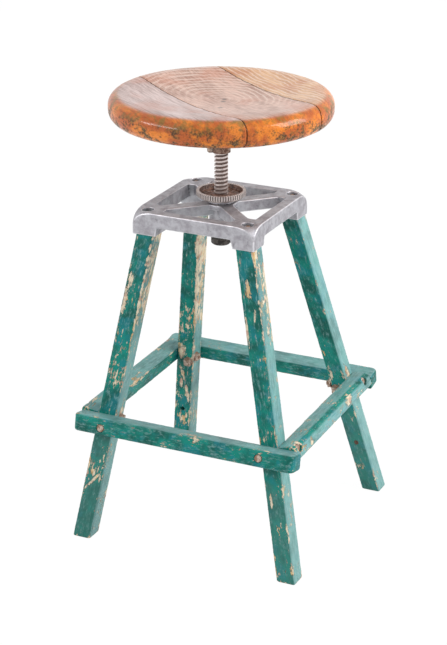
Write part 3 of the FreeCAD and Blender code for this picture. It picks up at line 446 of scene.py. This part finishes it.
@dataclass(frozen=True)
class VarnishedBoard:
    """Varnished hardwood with ring-shaped grain: pale with painted sheen on top, amber and grimy at the rim.
    """

    axis: tuple[float, float]
    seat_top: float
    joints: tuple[float, float]
    grain_turn: float
    rim_start: float = 0.158
    rim_full: float = 0.168
    ring_wobble: float = 0.034
    ring_sharpness: float = 7.0
    knot_edge: float = 0.0058
    knot_core: float = 0.0016
    pale: Colour = paint_chip(238, 214, 196)
    amber: Colour = paint_chip(228, 126, 0)
    rust: Colour = paint_chip(186, 88, 14)
    moss: Colour = paint_chip(132, 104, 26)
    soot: Colour = paint_chip(52, 38, 30)
    ash: Colour = paint_chip(150, 128, 108)

    def material(self, name: str, board: BoardGrain) -> bpy.types.Material:
        """Builds one board's finish.

        Args:
            name: The material's name.
            board: The board's own grain.

        Returns:
            The material.
        """
        make = Finish(name)
        place = make.place()
        centred = make.stretched(place, (1, 1, 1), (-self.axis[0], -self.axis[1], -self.seat_top))
        turned = make.stretched(centred, (1, 1, 1), (0, 0, 0), (0, 0, self.grain_turn))
        run, across, height = make.parts(turned)
        from_heart, off_heart = run - board.heart[0], across - board.heart[1]
        wobble = make.noise(turned, 11, 4, 0.6) - 0.5
        ring = ((from_heart * board.stretch) ** 2.0 + off_heart ** 2.0).root() + wobble * self.ring_wobble
        wave = make.math("SINE", ring * (2 * math.pi / board.spacing)) * 0.5 + 0.5
        fibres = make.noise(make.vector(run * 0.05, across, height), 420, 4, 0.62)
        pores = make.noise(make.vector(run * 0.10 + 3, across, height), 900, 2, 0.5)
        tone = make.noise(make.vector(run * 0.4, across, height), 26, 4, 0.6)
        blots = make.noise(place, 60, 5, 0.68)
        specks = make.noise(place, 260, 4, 0.7)
        wood = make.mix((fibres * 0.9 + tone * 0.8 - 0.35).rise(0.2, 0.8), board.light, board.dark)
        open_side = (run * 0.7 - across + tone * 0.12).rise(0.10, 0.0)
        lines = wave ** self.ring_sharpness * 0.8 * open_side * tone.rise(0.30, 0.50)
        wood = make.mix(lines, wood, self.pale)
        wood = make.mix((1.0 - wave) ** 4.0 * 0.20, wood, board.dark)
        warm = make.noise(place, 14, 3, 0.5)
        wood = make.mix(warm.rise(0.48, 0.66) * 0.35, wood, self.rust)
        wood = make.mix(pores.rise(0.66, 0.76) * 0.5, wood, self.soot)
        for spot in board.knots:
            apart = ((run - spot[0]) ** 2.0 + (across - spot[1]) ** 2.0).root()
            dark = (apart + (specks - 0.5) * 0.006).rise(self.knot_edge, self.knot_core)
            wood = make.mix(dark * 0.8, wood, self.soot)
        # Painted sheen: the top's tones above are pale as if they reflected the white room; past the rim's
        # start the amber varnish shows without it.
        side = (run ** 2.0 + across ** 2.0).root() + (blots - 0.5) * 0.006
        rim = side.rise(self.rim_start, self.rim_full)
        lacquer = make.mix(tone.rise(0.42, 0.58), self.amber, self.rust)
        lacquer = make.mix(blots.rise(0.46, 0.62) * 0.8, lacquer, self.moss)
        lacquer = make.mix(fibres.rise(0.5, 0.72) * 0.45, lacquer, self.soot)
        wood = make.mix(rim * 0.92, wood, lacquer)
        dirt = (specks * 0.7 + blots * 0.7).rise(0.66, 0.82) * height.rise(-0.004, -0.020) * rim
        wood = make.mix(dirt * 0.85, wood, self.soot)
        dust = (blots + specks * 0.3).rise(0.78, 0.86) * height.rise(-0.012, -0.026) * rim
        wood = make.mix(dust * 0.8, wood, self.ash)
        glue = (across - self.joints[0]).size().least((across - self.joints[1]).size())
        wood = make.mix(glue.rise(0.0011, 0.0004) * 0.85, wood, self.soot)
        relief = fibres * 0.2 - pores.rise(0.66, 0.76) * 0.3 + blots * 0.5 - dirt * 0.5
        relief = relief - glue.rise(0.0012, 0.0003)
        return make.surface(Base_Color=wood, Roughness=0.36 + dirt * 0.35 - rim * 0.08,
                            Coat_Weight=0.5 - rim * 0.15, Coat_Roughness=0.10,
                            Specular_IOR_Level=0.15, Normal=make.bump(relief, 0.0005))


@dataclass(frozen=True)
class CastMetal:
    """Satin cast aluminium with a sandy skin and dark stains, with painted highlights on its ridges and
    painted shade in its hollows.
    """

    edge_highlight: Colour = paint_chip(226, 224, 228)
    bright: Colour = paint_chip(178, 177, 182)
    dull: Colour = paint_chip(140, 136, 142)
    stain_and_shade: Colour = paint_chip(52, 50, 54)

    def material(self, name: str) -> bpy.types.Material:
        """Builds the casting's finish under a name."""
        make = Finish(name)
        place = make.place()
        # The worn value is the skin's bulge; here it places painted highlight on edges and painted shade in
        # hollows.
        edge, _, _ = make.parts(make.mark("worn"))
        cloud = make.noise(place, 75, 6, 0.68)
        sand = make.noise(place, 800, 3, 0.6)
        stain = make.noise(place, 110, 5, 0.7)
        colour = make.mix(cloud.rise(0.38, 0.66) * 0.8, self.bright, self.dull)
        colour = make.mix(stain.rise(0.58, 0.72) * 0.35, colour, self.stain_and_shade)
        # Painted shade: hollows and inner corners are darkened.
        colour = make.mix((edge * -1 + (stain - 0.5) * 0.5).rise(0.08, 0.6) * 0.9, colour, self.stain_and_shade)
        # Painted highlight: the ridges and edges are lightened.
        rubbed = (edge + (stain - 0.5) * 0.6).rise(0.12, 0.6)
        colour = make.mix(rubbed * 0.85, colour, self.edge_highlight)
        return make.surface(Base_Color=colour, Metallic=0.72, Roughness=0.44 + cloud * 0.16 - rubbed * 0.14,
                            Normal=make.bump(sand * 0.4 + cloud * 0.8, 0.0004))


@dataclass(frozen=True)
class RustySteel:
    """Steel that is rusty in its hollows and rubbed bright on its high places."""

    rubbed: Colour
    rust: Colour
    shine: float = 0.6

    def material(self, name: str) -> bpy.types.Material:
        """Builds the finish under a name."""
        make = Finish(name)
        place = make.place()
        patches = make.noise(place, 160, 5, 0.65)
        grit = make.noise(place, 900, 3, 0.6)
        rusted = (patches + (grit - 0.5) * 0.3).rise(0.42, 0.58)
        colour = make.mix(rusted, self.rubbed, self.rust)
        return make.surface(Base_Color=colour, Metallic=self.shine * (1 - rusted),
                            Roughness=0.4 + rusted * 0.35, Normal=make.bump(grit + patches, 0.0003))


@dataclass(frozen=True)
class WheelIron:
    """The hand wheel: a rusty dish with raised plain ribs, and a rim whose teeth are rubbed pale, with
    painted shade between them.
    """

    axis: tuple[float, float]
    rim_radius: float
    tooth_count: int = 60
    tooth_depth: float = 0.003
    rib_count: int = 30
    rib_band: tuple[float, float] = (0.60, 0.80)
    rib_edge: float = 0.0004
    pale: Colour = paint_chip(226, 216, 212)
    rust: Colour = paint_chip(150, 116, 100)
    # Dark rust, also used for the painted shade between the teeth.
    deep: Colour = paint_chip(70, 50, 42)

    def material(self, name: str) -> bpy.types.Material:
        """Builds the wheel's finish under a name."""
        make = Finish(name)
        place = make.place()
        x, y, _ = make.parts(place)
        x, y = x - self.axis[0], y - self.axis[1]
        reach = (x ** 2.0 + y ** 2.0).root()
        turn = make.math("ARCTAN2", y, x)
        grit = make.noise(place, 420, 4, 0.65)
        cloud = make.noise(place, 120, 4, 0.6)
        inner, outer = (self.rim_radius * share for share in self.rib_band)
        band = reach.rise(inner - self.rib_edge, inner + self.rib_edge)
        band = band * reach.rise(outer + self.rib_edge, outer - self.rib_edge)
        ribs = band * make.math("SINE", turn * self.rib_count + cloud * 5.0).rise(-0.1, 0.5)
        colour = make.mix(cloud.rise(0.35, 0.65), self.rust, self.deep)
        colour = make.mix((ribs * 0.7 + (grit - 0.5) * 1.2).rise(0.2, 0.8) * 0.7, colour, self.pale)
        root = self.rim_radius - self.tooth_depth
        rubbed = (reach + (grit - 0.5) * 0.004).rise(root - 0.003, root)
        colour = make.mix(rubbed * 0.8, colour, self.pale)
        # Painted shade in the gaps between the teeth.
        tooth_gap_shade = make.math("COSINE", (turn - math.pi / 2) * self.tooth_count).rise(0.1, 0.7)
        tooth_gap_shade = tooth_gap_shade * reach.rise(root - 0.001, root)
        colour = make.mix(tooth_gap_shade * 0.85, colour, self.deep)
        return make.surface(Base_Color=colour, Metallic=0.35 + rubbed * 0.3, Roughness=0.5 - rubbed * 0.1,
                            Normal=make.bump(ribs + grit * 0.4, 0.0008))


@dataclass(frozen=True)
class ThreadSteel:
    """The height screw: crests rubbed pale, roots painted dark as shade."""

    axis: tuple[float, float]
    crest_radius: float
    root_depth: float = 0.0030
    flank_depth: float = 0.0016
    crest: Colour = paint_chip(214, 202, 198)
    flank: Colour = paint_chip(132, 112, 104)
    root: Colour = paint_chip(62, 46, 40)

    def material(self, name: str) -> bpy.types.Material:
        """Builds the screw's finish under a name."""
        make = Finish(name)
        place = make.place()
        x, y, _ = make.parts(place)
        reach = ((x - self.axis[0]) ** 2.0 + (y - self.axis[1]) ** 2.0).root()
        grit = make.noise(place, 500, 4, 0.6)
        rough = reach + (grit - 0.5) * 0.0007
        # Painted shade: darkest in the thread roots, lighter on the flanks.
        side = rough.rise(self.crest_radius - self.root_depth, self.crest_radius - self.flank_depth)
        top = rough.rise(self.crest_radius - 0.0009, self.crest_radius - 0.0002)
        colour = make.mix(side, self.root, self.flank)
        colour = make.mix(top, colour, make.mix(grit.rise(0.5, 0.72) * 0.6, self.crest, self.flank))
        return make.surface(Base_Color=colour, Metallic=0.25 + top * 0.4, Roughness=0.5 - top * 0.16,
                            Normal=make.bump(grit, 0.0002))


@dataclass
class Workshop:
    """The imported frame, and the ways in which pieces are made from its nodes."""

    frame: dict

    def clear(self) -> None:
        """Leaves object mode with nothing selected."""
        if bpy.context.object is not None and bpy.context.object.mode != "OBJECT":
            bpy.ops.object.mode_set(mode="OBJECT")
        bpy.ops.object.select_all(action="DESELECT")

    def take(self, piece: bpy.types.Object) -> None:
        """Makes a piece the only selected and the active one."""
        self.clear()
        piece.select_set(True)
        bpy.context.view_layer.objects.active = piece

    def axis(self, node: str) -> tuple[float, float]:
        """Gives where the upright axis of a round node stands."""
        low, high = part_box(node)
        return (low.x + high.x) / 2, (low.y + high.y) / 2

    def copy(self, node: str, name: str) -> bpy.types.Object:
        """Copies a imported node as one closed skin.

        Args:
            node: The node's name.
            name: The new piece's name.

        Returns:
            The piece, which stands for the node.
        """
        source = self.frame["nodes"][node]
        piece = bpy.data.objects.new(name, source.data.copy())
        bpy.context.scene.collection.objects.link(piece)
        piece.data.materials.clear()
        self.take(piece)
        bpy.ops.object.mode_set(mode="EDIT")
        bpy.ops.mesh.select_all(action="SELECT")
        bpy.ops.mesh.remove_doubles(threshold=0.000002)
        bpy.ops.object.mode_set(mode="OBJECT")
        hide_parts(node)
        return piece

    def modify(self, piece: bpy.types.Object, kind: str, **settings: object) -> None:
        """Adds a modifier to a piece and applies it.

        Args:
            piece: The piece.
            kind: The modifier's type.
            **settings: The modifier's settings.
        """
        self.take(piece)
        made = piece.modifiers.new(kind.lower(), kind)
        for name, value in settings.items():
            setattr(made, name, value)
        bpy.ops.object.modifier_apply(modifier=made.name)

    def soften(self, piece: bpy.types.Object, voxel: float, rounds: int) -> None:
        """Turns a piece into an even skin with rounded edges.

        Args:
            piece: The piece.
            voxel: The size of the skin's squares.
            rounds: How often it is smoothed.
        """
        self.modify(piece, "REMESH", mode="VOXEL", voxel_size=voxel, use_smooth_shade=True)
        if rounds:
            self.modify(piece, "SMOOTH", iterations=rounds, factor=0.5)

    def points(self, piece: bpy.types.Object) -> np.ndarray:
        """Gives the piece's vertices as rows of three."""
        flat = np.empty(len(piece.data.vertices) * 3, np.float32)
        piece.data.vertices.foreach_get("co", flat)
        return flat.reshape(-1, 3).astype(float)

    def carry(self, piece: bpy.types.Object, name: str, rows: np.ndarray) -> None:
        """Stores a vector for each of the piece's vertices."""
        layer = piece.data.attributes.new(name, "FLOAT_VECTOR", "POINT")
        layer.data.foreach_set("vector", rows.astype(np.float32).ravel())

    def feel(self, piece: bpy.types.Object, spread: int) -> None:
        """Stores on each vertex how much it stands out: above 0 on edges, below 0 in corners.

        Args:
            piece: The piece, with an even skin.
            spread: How many rounds the values are spread to their neighbours.
        """
        rows = self.points(piece)
        pairs = np.empty(len(piece.data.edges) * 2, np.int32)
        piece.data.edges.foreach_get("vertices", pairs)
        first, second = pairs[0::2], pairs[1::2]
        count = np.bincount(pairs, minlength=len(rows))[:, None]

        def around(values: np.ndarray) -> np.ndarray:
            """Averages each vertex's neighbours."""
            total = np.zeros_like(values)
            np.add.at(total, first, values[second])
            np.add.at(total, second, values[first])
            return total / count

        normals = np.empty(len(rows) * 3, np.float32)
        piece.data.vertices.foreach_get("normal", normals)
        length = np.linalg.norm(rows[first] - rows[second], axis=1).mean()
        bulge = -((around(rows) - rows) * normals.reshape(-1, 3)).sum(1, keepdims=True) / length * 4
        for _ in range(spread):
            bulge = (bulge + around(bulge)) / 2
        self.carry(piece, "worn", np.repeat(bulge, 3, axis=1))

    def dent(self, piece: bpy.types.Object, scale: float, depth: float, group: str = "") -> None:
        """Pushes the skin in and out by a cloudy pattern.

        Args:
            piece: The piece.
            scale: The size of the pattern's clouds.
            depth: How far it moves.
            group: The vertex group that limits it.
        """
        clouds = bpy.data.textures.new(piece.name + "_clouds", "CLOUDS")
        clouds.noise_scale = scale
        clouds.noise_depth = 3
        self.modify(piece, "DISPLACE", texture=clouds, strength=depth, mid_level=0.75, vertex_group=group)

    def weigh(self, piece: bpy.types.Object, name: str, weights: np.ndarray) -> None:
        """Gives the piece a vertex group with a weight for each vertex, in twenty steps."""
        group = piece.vertex_groups.new(name=name)
        steps = np.round(np.clip(weights, 0, 1) * 20).astype(int)
        for step in range(1, 21):
            chosen = np.nonzero(steps == step)[0].tolist()
            if chosen:
                group.add(chosen, step / 20, "REPLACE")

    def dress(self, piece: bpy.types.Object, material: bpy.types.Material) -> None:
        """Gives a piece one material all over."""
        piece.data.materials.clear()
        piece.data.materials.append(material)


@dataclass
class PaintedFrame:
    """The four legs and four stretchers, with worn teal paint."""

    shop: Workshop
    bar_half: float = 0.0158
    skin: float = 0.0014
    end_inset: float = 0.006
    end_band: float = 0.004
    edge_from: float = 0.70
    dent_size: float = 0.009
    dent_depth: float = 0.0009
    jobs: dict[str, PaintJob] = field(default_factory=lambda: {
        "leg_front_left": PaintJob(1.3, 0.85, scuffed_below=0.19, bared_above=0.36, chips=(
            Chip(Face.FRONT, 0.398, -0.011, 0.020, 0.004), Chip(Face.FRONT, 0.431, -0.008, 0.012, 0.004),
            Chip(Face.FRONT, 0.098, -0.001, 0.014, 0.003, 0.7),
            Chip(Face.RIGHT, 0.212, 0.003, 0.006, 0.006))),
        "leg_front_right": PaintJob(2.9, 0.65, scuffed_below=0.17, bared_above=0.40, chips=(
            Chip(Face.FRONT, 0.446, -0.003, 0.012, 0.005), Chip(Face.FRONT, 0.408, 0.004, 0.010, 0.002, 0.2),
            Chip(Face.FRONT, 0.385, -0.0125, 0.022, 0.002), Chip(Face.FRONT, 0.127, -0.007, 0.010, 0.002))),
        "leg_rear_right": PaintJob(4.2, 0.35, scuffed_below=0.18, chips=(
            Chip(Face.FRONT, 0.222, -0.009, 0.010, 0.0022, 0.1),
            Chip(Face.RIGHT, 0.227, -0.002, 0.010, 0.006))),
        "leg_rear_left": PaintJob(5.7, 0.9, bared_above=0.30, chips=(
            Chip(Face.FRONT, 0.215, -0.0067, 0.014, 0.006),
            Chip(Face.FRONT, 0.169, -0.003, 0.018, 0.003, -0.35),
            Chip(Face.FRONT, 0.150, -0.005, 0.009, 0.003), Chip(Face.FRONT, 0.128, 0.008, 0.018, 0.003, -0.2),
            Chip(Face.FRONT, 0.430, 0.012, 0.018, 0.004))),
        # The third value lists faces washed pale with painted sheen, which on the tops also stands for foot
        # wear.
        "stretcher_front": PaintJob(7.1, 0.5, (Face.TOP,)),
        "stretcher_rear": PaintJob(8.6, 0.3, (Face.TOP,)),
        "stretcher_left": PaintJob(9.4, 0.75, (Face.TOP,)),
        "stretcher_right": PaintJob(11.2, 0.6, (Face.TOP, Face.OUTER), chips=(
            Chip(Face.OUTER, -0.101, -0.004, 0.005, 0.008, 0.3),
            Chip(Face.OUTER, 0.060, 0.002, 0.012, 0.011, 0.2))),
    })

    def build(self) -> list[bpy.types.Object]:
        """Builds all eight bars."""
        return [self.leg(node) if node.startswith("leg") else self.stretcher(node) for node in self.jobs]

    def leg(self, node: str) -> bpy.types.Object:
        """Builds one worn leg.

        Args:
            node: The leg's node.

        Returns:
            The piece.
        """
        shop = self.shop
        piece = shop.copy(node, node + "_worn")
        shop.soften(piece, self.skin, 1)
        rows = shop.points(piece)
        foot, head = self.end_inset, rows[:, 2].max() - self.end_inset
        ends = [rows[np.abs(rows[:, 2] - height) < self.end_band][:, :2] for height in (foot, head)]
        low, high = [(part.min(0) + part.max(0)) / 2 for part in ends]
        share = ((rows[:, 2] - foot) / (head - foot))[:, None]
        middle = low + (high - low) * share
        local = (rows[:, :2] - middle) / self.bar_half
        return self.wear(piece, node, np.column_stack([local, rows[:, 2]]))

    def stretcher(self, node: str) -> bpy.types.Object:
        """Builds one worn stretcher.

        Args:
            node: The stretcher's node.

        Returns:
            The piece.
        """
        shop = self.shop
        piece = shop.copy(node, node + "_worn")
        shop.soften(piece, self.skin, 1)
        rows = shop.points(piece)
        side = node.split("_")[1]
        lengthwise = 0 if side in ("front", "rear") else 1
        outward = 1 if side in ("rear", "right") else -1
        along = rows[:, lengthwise]
        flat = rows[:, 1 - lengthwise] * outward
        tilt = self.tilt(side)
        out = flat * math.cos(tilt) + rows[:, 2] * math.sin(tilt)
        up = rows[:, 2] * math.cos(tilt) - flat * math.sin(tilt)
        up = up - np.polyval(np.polyfit(along, up, 1), along)
        local = np.column_stack([self.share(out), self.share(up), along])
        return self.wear(piece, node, local)

    def share(self, values: np.ndarray) -> np.ndarray:
        """Scales values so that they run from -1 to 1."""
        middle, half = (values.max() + values.min()) / 2, (values.max() - values.min()) / 2
        return (values - middle) / half

    def tilt(self, side: str) -> float:
        """Gives how far a stretcher leans back, from the legs that it lies on, in radians."""
        legs = {"front": "leg_front_left", "rear": "leg_rear_left", "left": "leg_front_left",
                "right": "leg_front_right"}
        low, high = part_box(legs[side])
        axis = 1 if side in ("front", "rear") else 0
        return math.atan((high[axis] - low[axis] - 2 * self.bar_half) / (high[2] - low[2]))

    def wear(self, piece: bpy.types.Object, node: str, local: np.ndarray) -> bpy.types.Object:
        """Knocks a bar's edges about and paints it.

        Args:
            piece: The bar.
            node: Its node.
            local: For each vertex, its place across both ways, where 1 is the face, and along in metres.

        Returns:
            The bar.
        """
        shop = self.shop
        corner = np.minimum(np.abs(local[:, 0]), np.abs(local[:, 1]))
        shop.carry(piece, "bar", local)
        shop.weigh(piece, "edges", (corner - self.edge_from) / (1 - self.edge_from))
        shop.dent(piece, self.dent_size, self.dent_depth, "edges")
        shop.feel(piece, 2)
        shop.dress(piece, WornPaint().material(node + "_paint", self.jobs[node]))
        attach(piece, "base")
        return piece


@dataclass
class Seat:
    """The three glued boards of the seat."""

    shop: Workshop
    joint_turn: float = math.radians(32.4)
    skin: float = 0.0016
    dent_size: float = 0.05
    dent_depth: float = 0.0006
    # The light tones are pale because painted sheen is mixed into them.
    grains: dict[str, BoardGrain] = field(default_factory=lambda: {
        "front": BoardGrain((0.30, 0.06), 0.12, 0.009, paint_chip(226, 200, 194), paint_chip(146, 112, 102)),
        "middle": BoardGrain((0.0, 0.0), 0.85, 0.0105, paint_chip(234, 192, 172), paint_chip(150, 100, 78),
                             ((0.002, 0.004), (0.012, -0.004), (0.045, -0.030))),
        "rear": BoardGrain((0.10, -0.20), 0.10, 0.008, paint_chip(242, 196, 150), paint_chip(180, 120, 80)),
    })

    def build(self) -> list[bpy.types.Object]:
        """Builds the boards."""
        return [self.board(name) for name in self.grains]

    def joints(self, axis: tuple[float, float]) -> tuple[float, float]:
        """Gives how far across the grain the two glue lines lie from the screw's axis."""
        sine, cosine = math.sin(self.joint_turn), math.cos(self.joint_turn)
        reaches = []
        for name, pick in (("front", max), ("rear", min)):
            rows = [corner.co for corner in self.shop.frame["nodes"]["seat_board_" + name].data.vertices]
            reaches.append(pick((row.x - axis[0]) * sine + (row.y - axis[1]) * cosine for row in rows))
        return reaches[0], reaches[1]

    def board(self, name: str) -> bpy.types.Object:
        """Builds one board.

        Args:
            name: Which board.

        Returns:
            The piece.
        """
        shop = self.shop
        node = "seat_board_" + name
        axis = shop.axis("height_screw")
        piece = shop.copy(node, node + "_varnished")
        shop.soften(piece, self.skin, 1)
        shop.dent(piece, self.dent_size, self.dent_depth)
        finish = VarnishedBoard(axis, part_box(node)[1].z, self.joints(axis), self.joint_turn)
        shop.dress(piece, finish.material(node + "_varnish", self.grains[name]))
        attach(piece, "seat")
        return piece


@dataclass
class Ironwork:
    """The spider casting, the height screw and every metal piece on them."""

    shop: Workshop
    skin: float = 0.0012
    dent_size: float = 0.02
    dent_depth: float = 0.0004
    finishes: dict[str, tuple[str, ...]] = field(default_factory=lambda: {
        "rusty": ("leg_head_screws", "seat_flange"),
        "dark": ("retaining_collar", "collar_pin", "wheel_washer", "stop_washer"),
        "bolt": ("stretcher_bolts", "stretcher_washers", "stretcher_nuts", "stretcher_nail",
                 "flange_set_screw", "flange_screws"),
        "bronze": ("hub_bushing",),
        "plug": ("leg_plug",),
    })

    def build(self) -> list[bpy.types.Object]:
        """Builds the casting and dresses the rest."""
        return [self.casting(), *self.small_pieces(), *self.turned_pieces()]

    def casting(self) -> bpy.types.Object:
        """Builds the casting with the soft edges of cast metal."""
        shop = self.shop
        piece = shop.copy("spider_casting", "spider_casting_soft")
        shop.soften(piece, self.skin, 2)
        shop.dent(piece, self.dent_size, self.dent_depth)
        shop.feel(piece, 2)
        shop.dress(piece, CastMetal().material("cast_aluminium"))
        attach(piece, "base")
        return piece

    def small_pieces(self) -> list[bpy.types.Object]:
        """Dresses the fasteners, washers, collar, flange, bushing and plug."""
        steels = {
            "rusty": RustySteel(paint_chip(150, 124, 108), paint_chip(96, 62, 44), 0.5),
            "dark": RustySteel(paint_chip(84, 78, 74), paint_chip(40, 34, 30), 0.5),
            "bolt": RustySteel(paint_chip(186, 168, 154), paint_chip(134, 104, 84), 0.5),
            "bronze": RustySteel(paint_chip(150, 116, 60), paint_chip(90, 70, 44), 0.8),
            "plug": RustySteel(paint_chip(90, 60, 40), paint_chip(60, 40, 28), 0.0),
        }
        dressed = []
        for name, nodes in self.finishes.items():
            material = steels[name].material(name + "_steel")
            for node in nodes:
                piece = self.shop.frame["nodes"][node]
                self.shop.dress(piece, material)
                dressed.append(piece)
        return dressed

    def turned_pieces(self) -> list[bpy.types.Object]:
        """Dresses the height screw and the hand wheel, whose finishes follow their radius."""
        finishes = {"height_screw": ThreadSteel, "lock_wheel": WheelIron}
        dressed = []
        for node, finish in finishes.items():
            low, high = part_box(node)
            piece = self.shop.frame["nodes"][node]
            made = finish(self.shop.axis(node), (high.x - low.x) / 2)
            self.shop.dress(piece, made.material(node + "_steel"))
            dressed.append(piece)
        return dressed


@dataclass(frozen=True)
class Lamp:
    """A flat lamp: its place and size in metres, and its power in watts."""

    name: str
    place: Triple
    power: float
    width: float
    height: float


@dataclass
class Studio:
    """The plain white studio: floor, lamps, world and camera."""

    floor_half: float = 6.0
    azimuth: float = 25.245
    distance: float = 3.0712
    height: float = 1.5476
    shift: float = -0.024
    yaw: float = 25.164
    pitch: float = 21.539
    roll: float = -0.148
    lens: float = 112.83
    sensor: float = 36.0
    aim_height: float = 0.35
    floor_grey: Colour = (0.86, 0.86, 0.86)
    floor_glow: float = 1.03
    glow_share: float = 0.95
    sky: Colour = (0.95, 0.97, 1.0)
    sky_power: float = 0.58
    soft_lamps: tuple[Lamp, ...] = (Lamp("lamp_left", (-1.9, -2.3, 1.6), 40, 2.2, 0.4),
                                    Lamp("lamp_right", (2.4, 0.5, 1.9), 70, 1.6, 1.6))

    def build(self) -> None:
        """Sets up everything that isn't the stool."""
        scene = bpy.context.scene
        scene.view_settings.view_transform = "Standard"
        self.floor()
        self.world(scene)
        self.lamps()
        self.camera(scene)

    def floor(self) -> None:
        """Lays a white floor that keeps a faint shadow."""
        bpy.ops.mesh.primitive_plane_add(size=2 * self.floor_half, location=(0, 0, 0))
        floor = bpy.context.object
        floor.name = "studio_floor"
        make = Finish("floor_white")
        seen = self.seen(make)
        matte = make.node("ShaderNodeBsdfDiffuse", None, {"Color": self.floor_grey})
        glow = make.node("ShaderNodeEmission", None, {"Color": (1.0, 1.0, 1.0), "Strength": self.floor_glow})
        make.node_end(make.node("ShaderNodeMixShader", None, {0: seen * self.glow_share, 1: matte, 2: glow}))
        floor.data.materials.append(make.material)

    def seen(self, make: Finish) -> Strand:
        """Gives 1 where the camera, a reflection or a clear piece looks at a surface."""
        path = make.node("ShaderNodeLightPath").socket.node
        camera, glossy, clear = (Strand(make, path.outputs[name])
                                 for name in ("Is Camera Ray", "Is Glossy Ray", "Is Transmission Ray"))
        return camera.most(glossy).most(clear)

    def world(self, scene: bpy.types.Scene) -> None:
        """Makes the world white to look at and softer as a light."""
        world = bpy.data.worlds.new("studio_world")
        scene.world = world
        world.use_nodes = True
        tree = world.node_tree
        tree.nodes.clear()
        path = tree.nodes.new("ShaderNodeLightPath")
        first = tree.nodes.new("ShaderNodeMath")
        first.operation = "MAXIMUM"
        second = tree.nodes.new("ShaderNodeMath")
        second.operation = "MAXIMUM"
        tree.links.new(path.outputs["Is Camera Ray"], first.inputs[0])
        tree.links.new(path.outputs["Is Glossy Ray"], first.inputs[1])
        tree.links.new(first.outputs[0], second.inputs[0])
        tree.links.new(path.outputs["Is Transmission Ray"], second.inputs[1])
        soft = tree.nodes.new("ShaderNodeBackground")
        soft.inputs["Color"].default_value = (*self.sky, 1.0)
        soft.inputs["Strength"].default_value = self.sky_power
        white = tree.nodes.new("ShaderNodeBackground")
        white.inputs["Color"].default_value = (1.0, 1.0, 1.0, 1.0)
        mixed = tree.nodes.new("ShaderNodeMixShader")
        tree.links.new(second.outputs[0], mixed.inputs[0])
        tree.links.new(soft.outputs[0], mixed.inputs[1])
        tree.links.new(white.outputs[0], mixed.inputs[2])
        end = tree.nodes.new("ShaderNodeOutputWorld")
        tree.links.new(mixed.outputs[0], end.inputs["Surface"])

    def lamps(self) -> None:
        """Hangs the soft lamps, all turned to one point of the stool."""
        for plan in self.soft_lamps:
            bpy.ops.object.light_add(type="AREA", location=plan.place)
            lamp = bpy.context.object
            lamp.name = plan.name
            lamp.data.energy = plan.power
            lamp.data.shape = "RECTANGLE"
            lamp.data.size = plan.width
            lamp.data.size_y = plan.height
            aim = Vector((0, 0, self.aim_height)) - Vector(plan.place)
            lamp.rotation_euler = aim.to_track_quat("-Z", "Y").to_euler()

    def camera(self, scene: bpy.types.Scene) -> None:
        """Places the camera where the photograph was taken from."""
        turn, yaw, pitch = (math.radians(angle) for angle in (self.azimuth, self.yaw, self.pitch))
        data = bpy.data.cameras.new("photo_camera")
        data.lens = self.lens
        data.sensor_width = self.sensor
        data.clip_end = 50.0
        camera = bpy.data.objects.new("photo_camera", data)
        scene.collection.objects.link(camera)
        camera.location = (math.sin(turn) * self.distance + self.shift, -math.cos(turn) * self.distance,
                           self.height)
        look = Vector((-math.sin(yaw) * math.cos(pitch), math.cos(yaw) * math.cos(pitch), -math.sin(pitch)))
        aim = look.to_track_quat("-Z", "Y")
        camera.rotation_mode = "QUATERNION"
        rolled = Matrix.Rotation(math.radians(self.roll), 3, look) @ aim.to_matrix()
        camera.rotation_quaternion = rolled.to_quaternion()
        scene.camera = camera


def main() -> None:
    """Loads the frame, builds and dresses every sub-assembly, and sets the studio."""
    logging.basicConfig(level=logging.INFO, format="%(message)s")
    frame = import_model()
    shop = Workshop(frame)
    for assembly in (PaintedFrame(shop), Seat(shop), Ironwork(shop)):
        for piece in assembly.build():
            LOG.info("%s: %d faces", piece.name, len(piece.data.polygons))
    Studio().build()


if __name__ == "__main__":
    main()
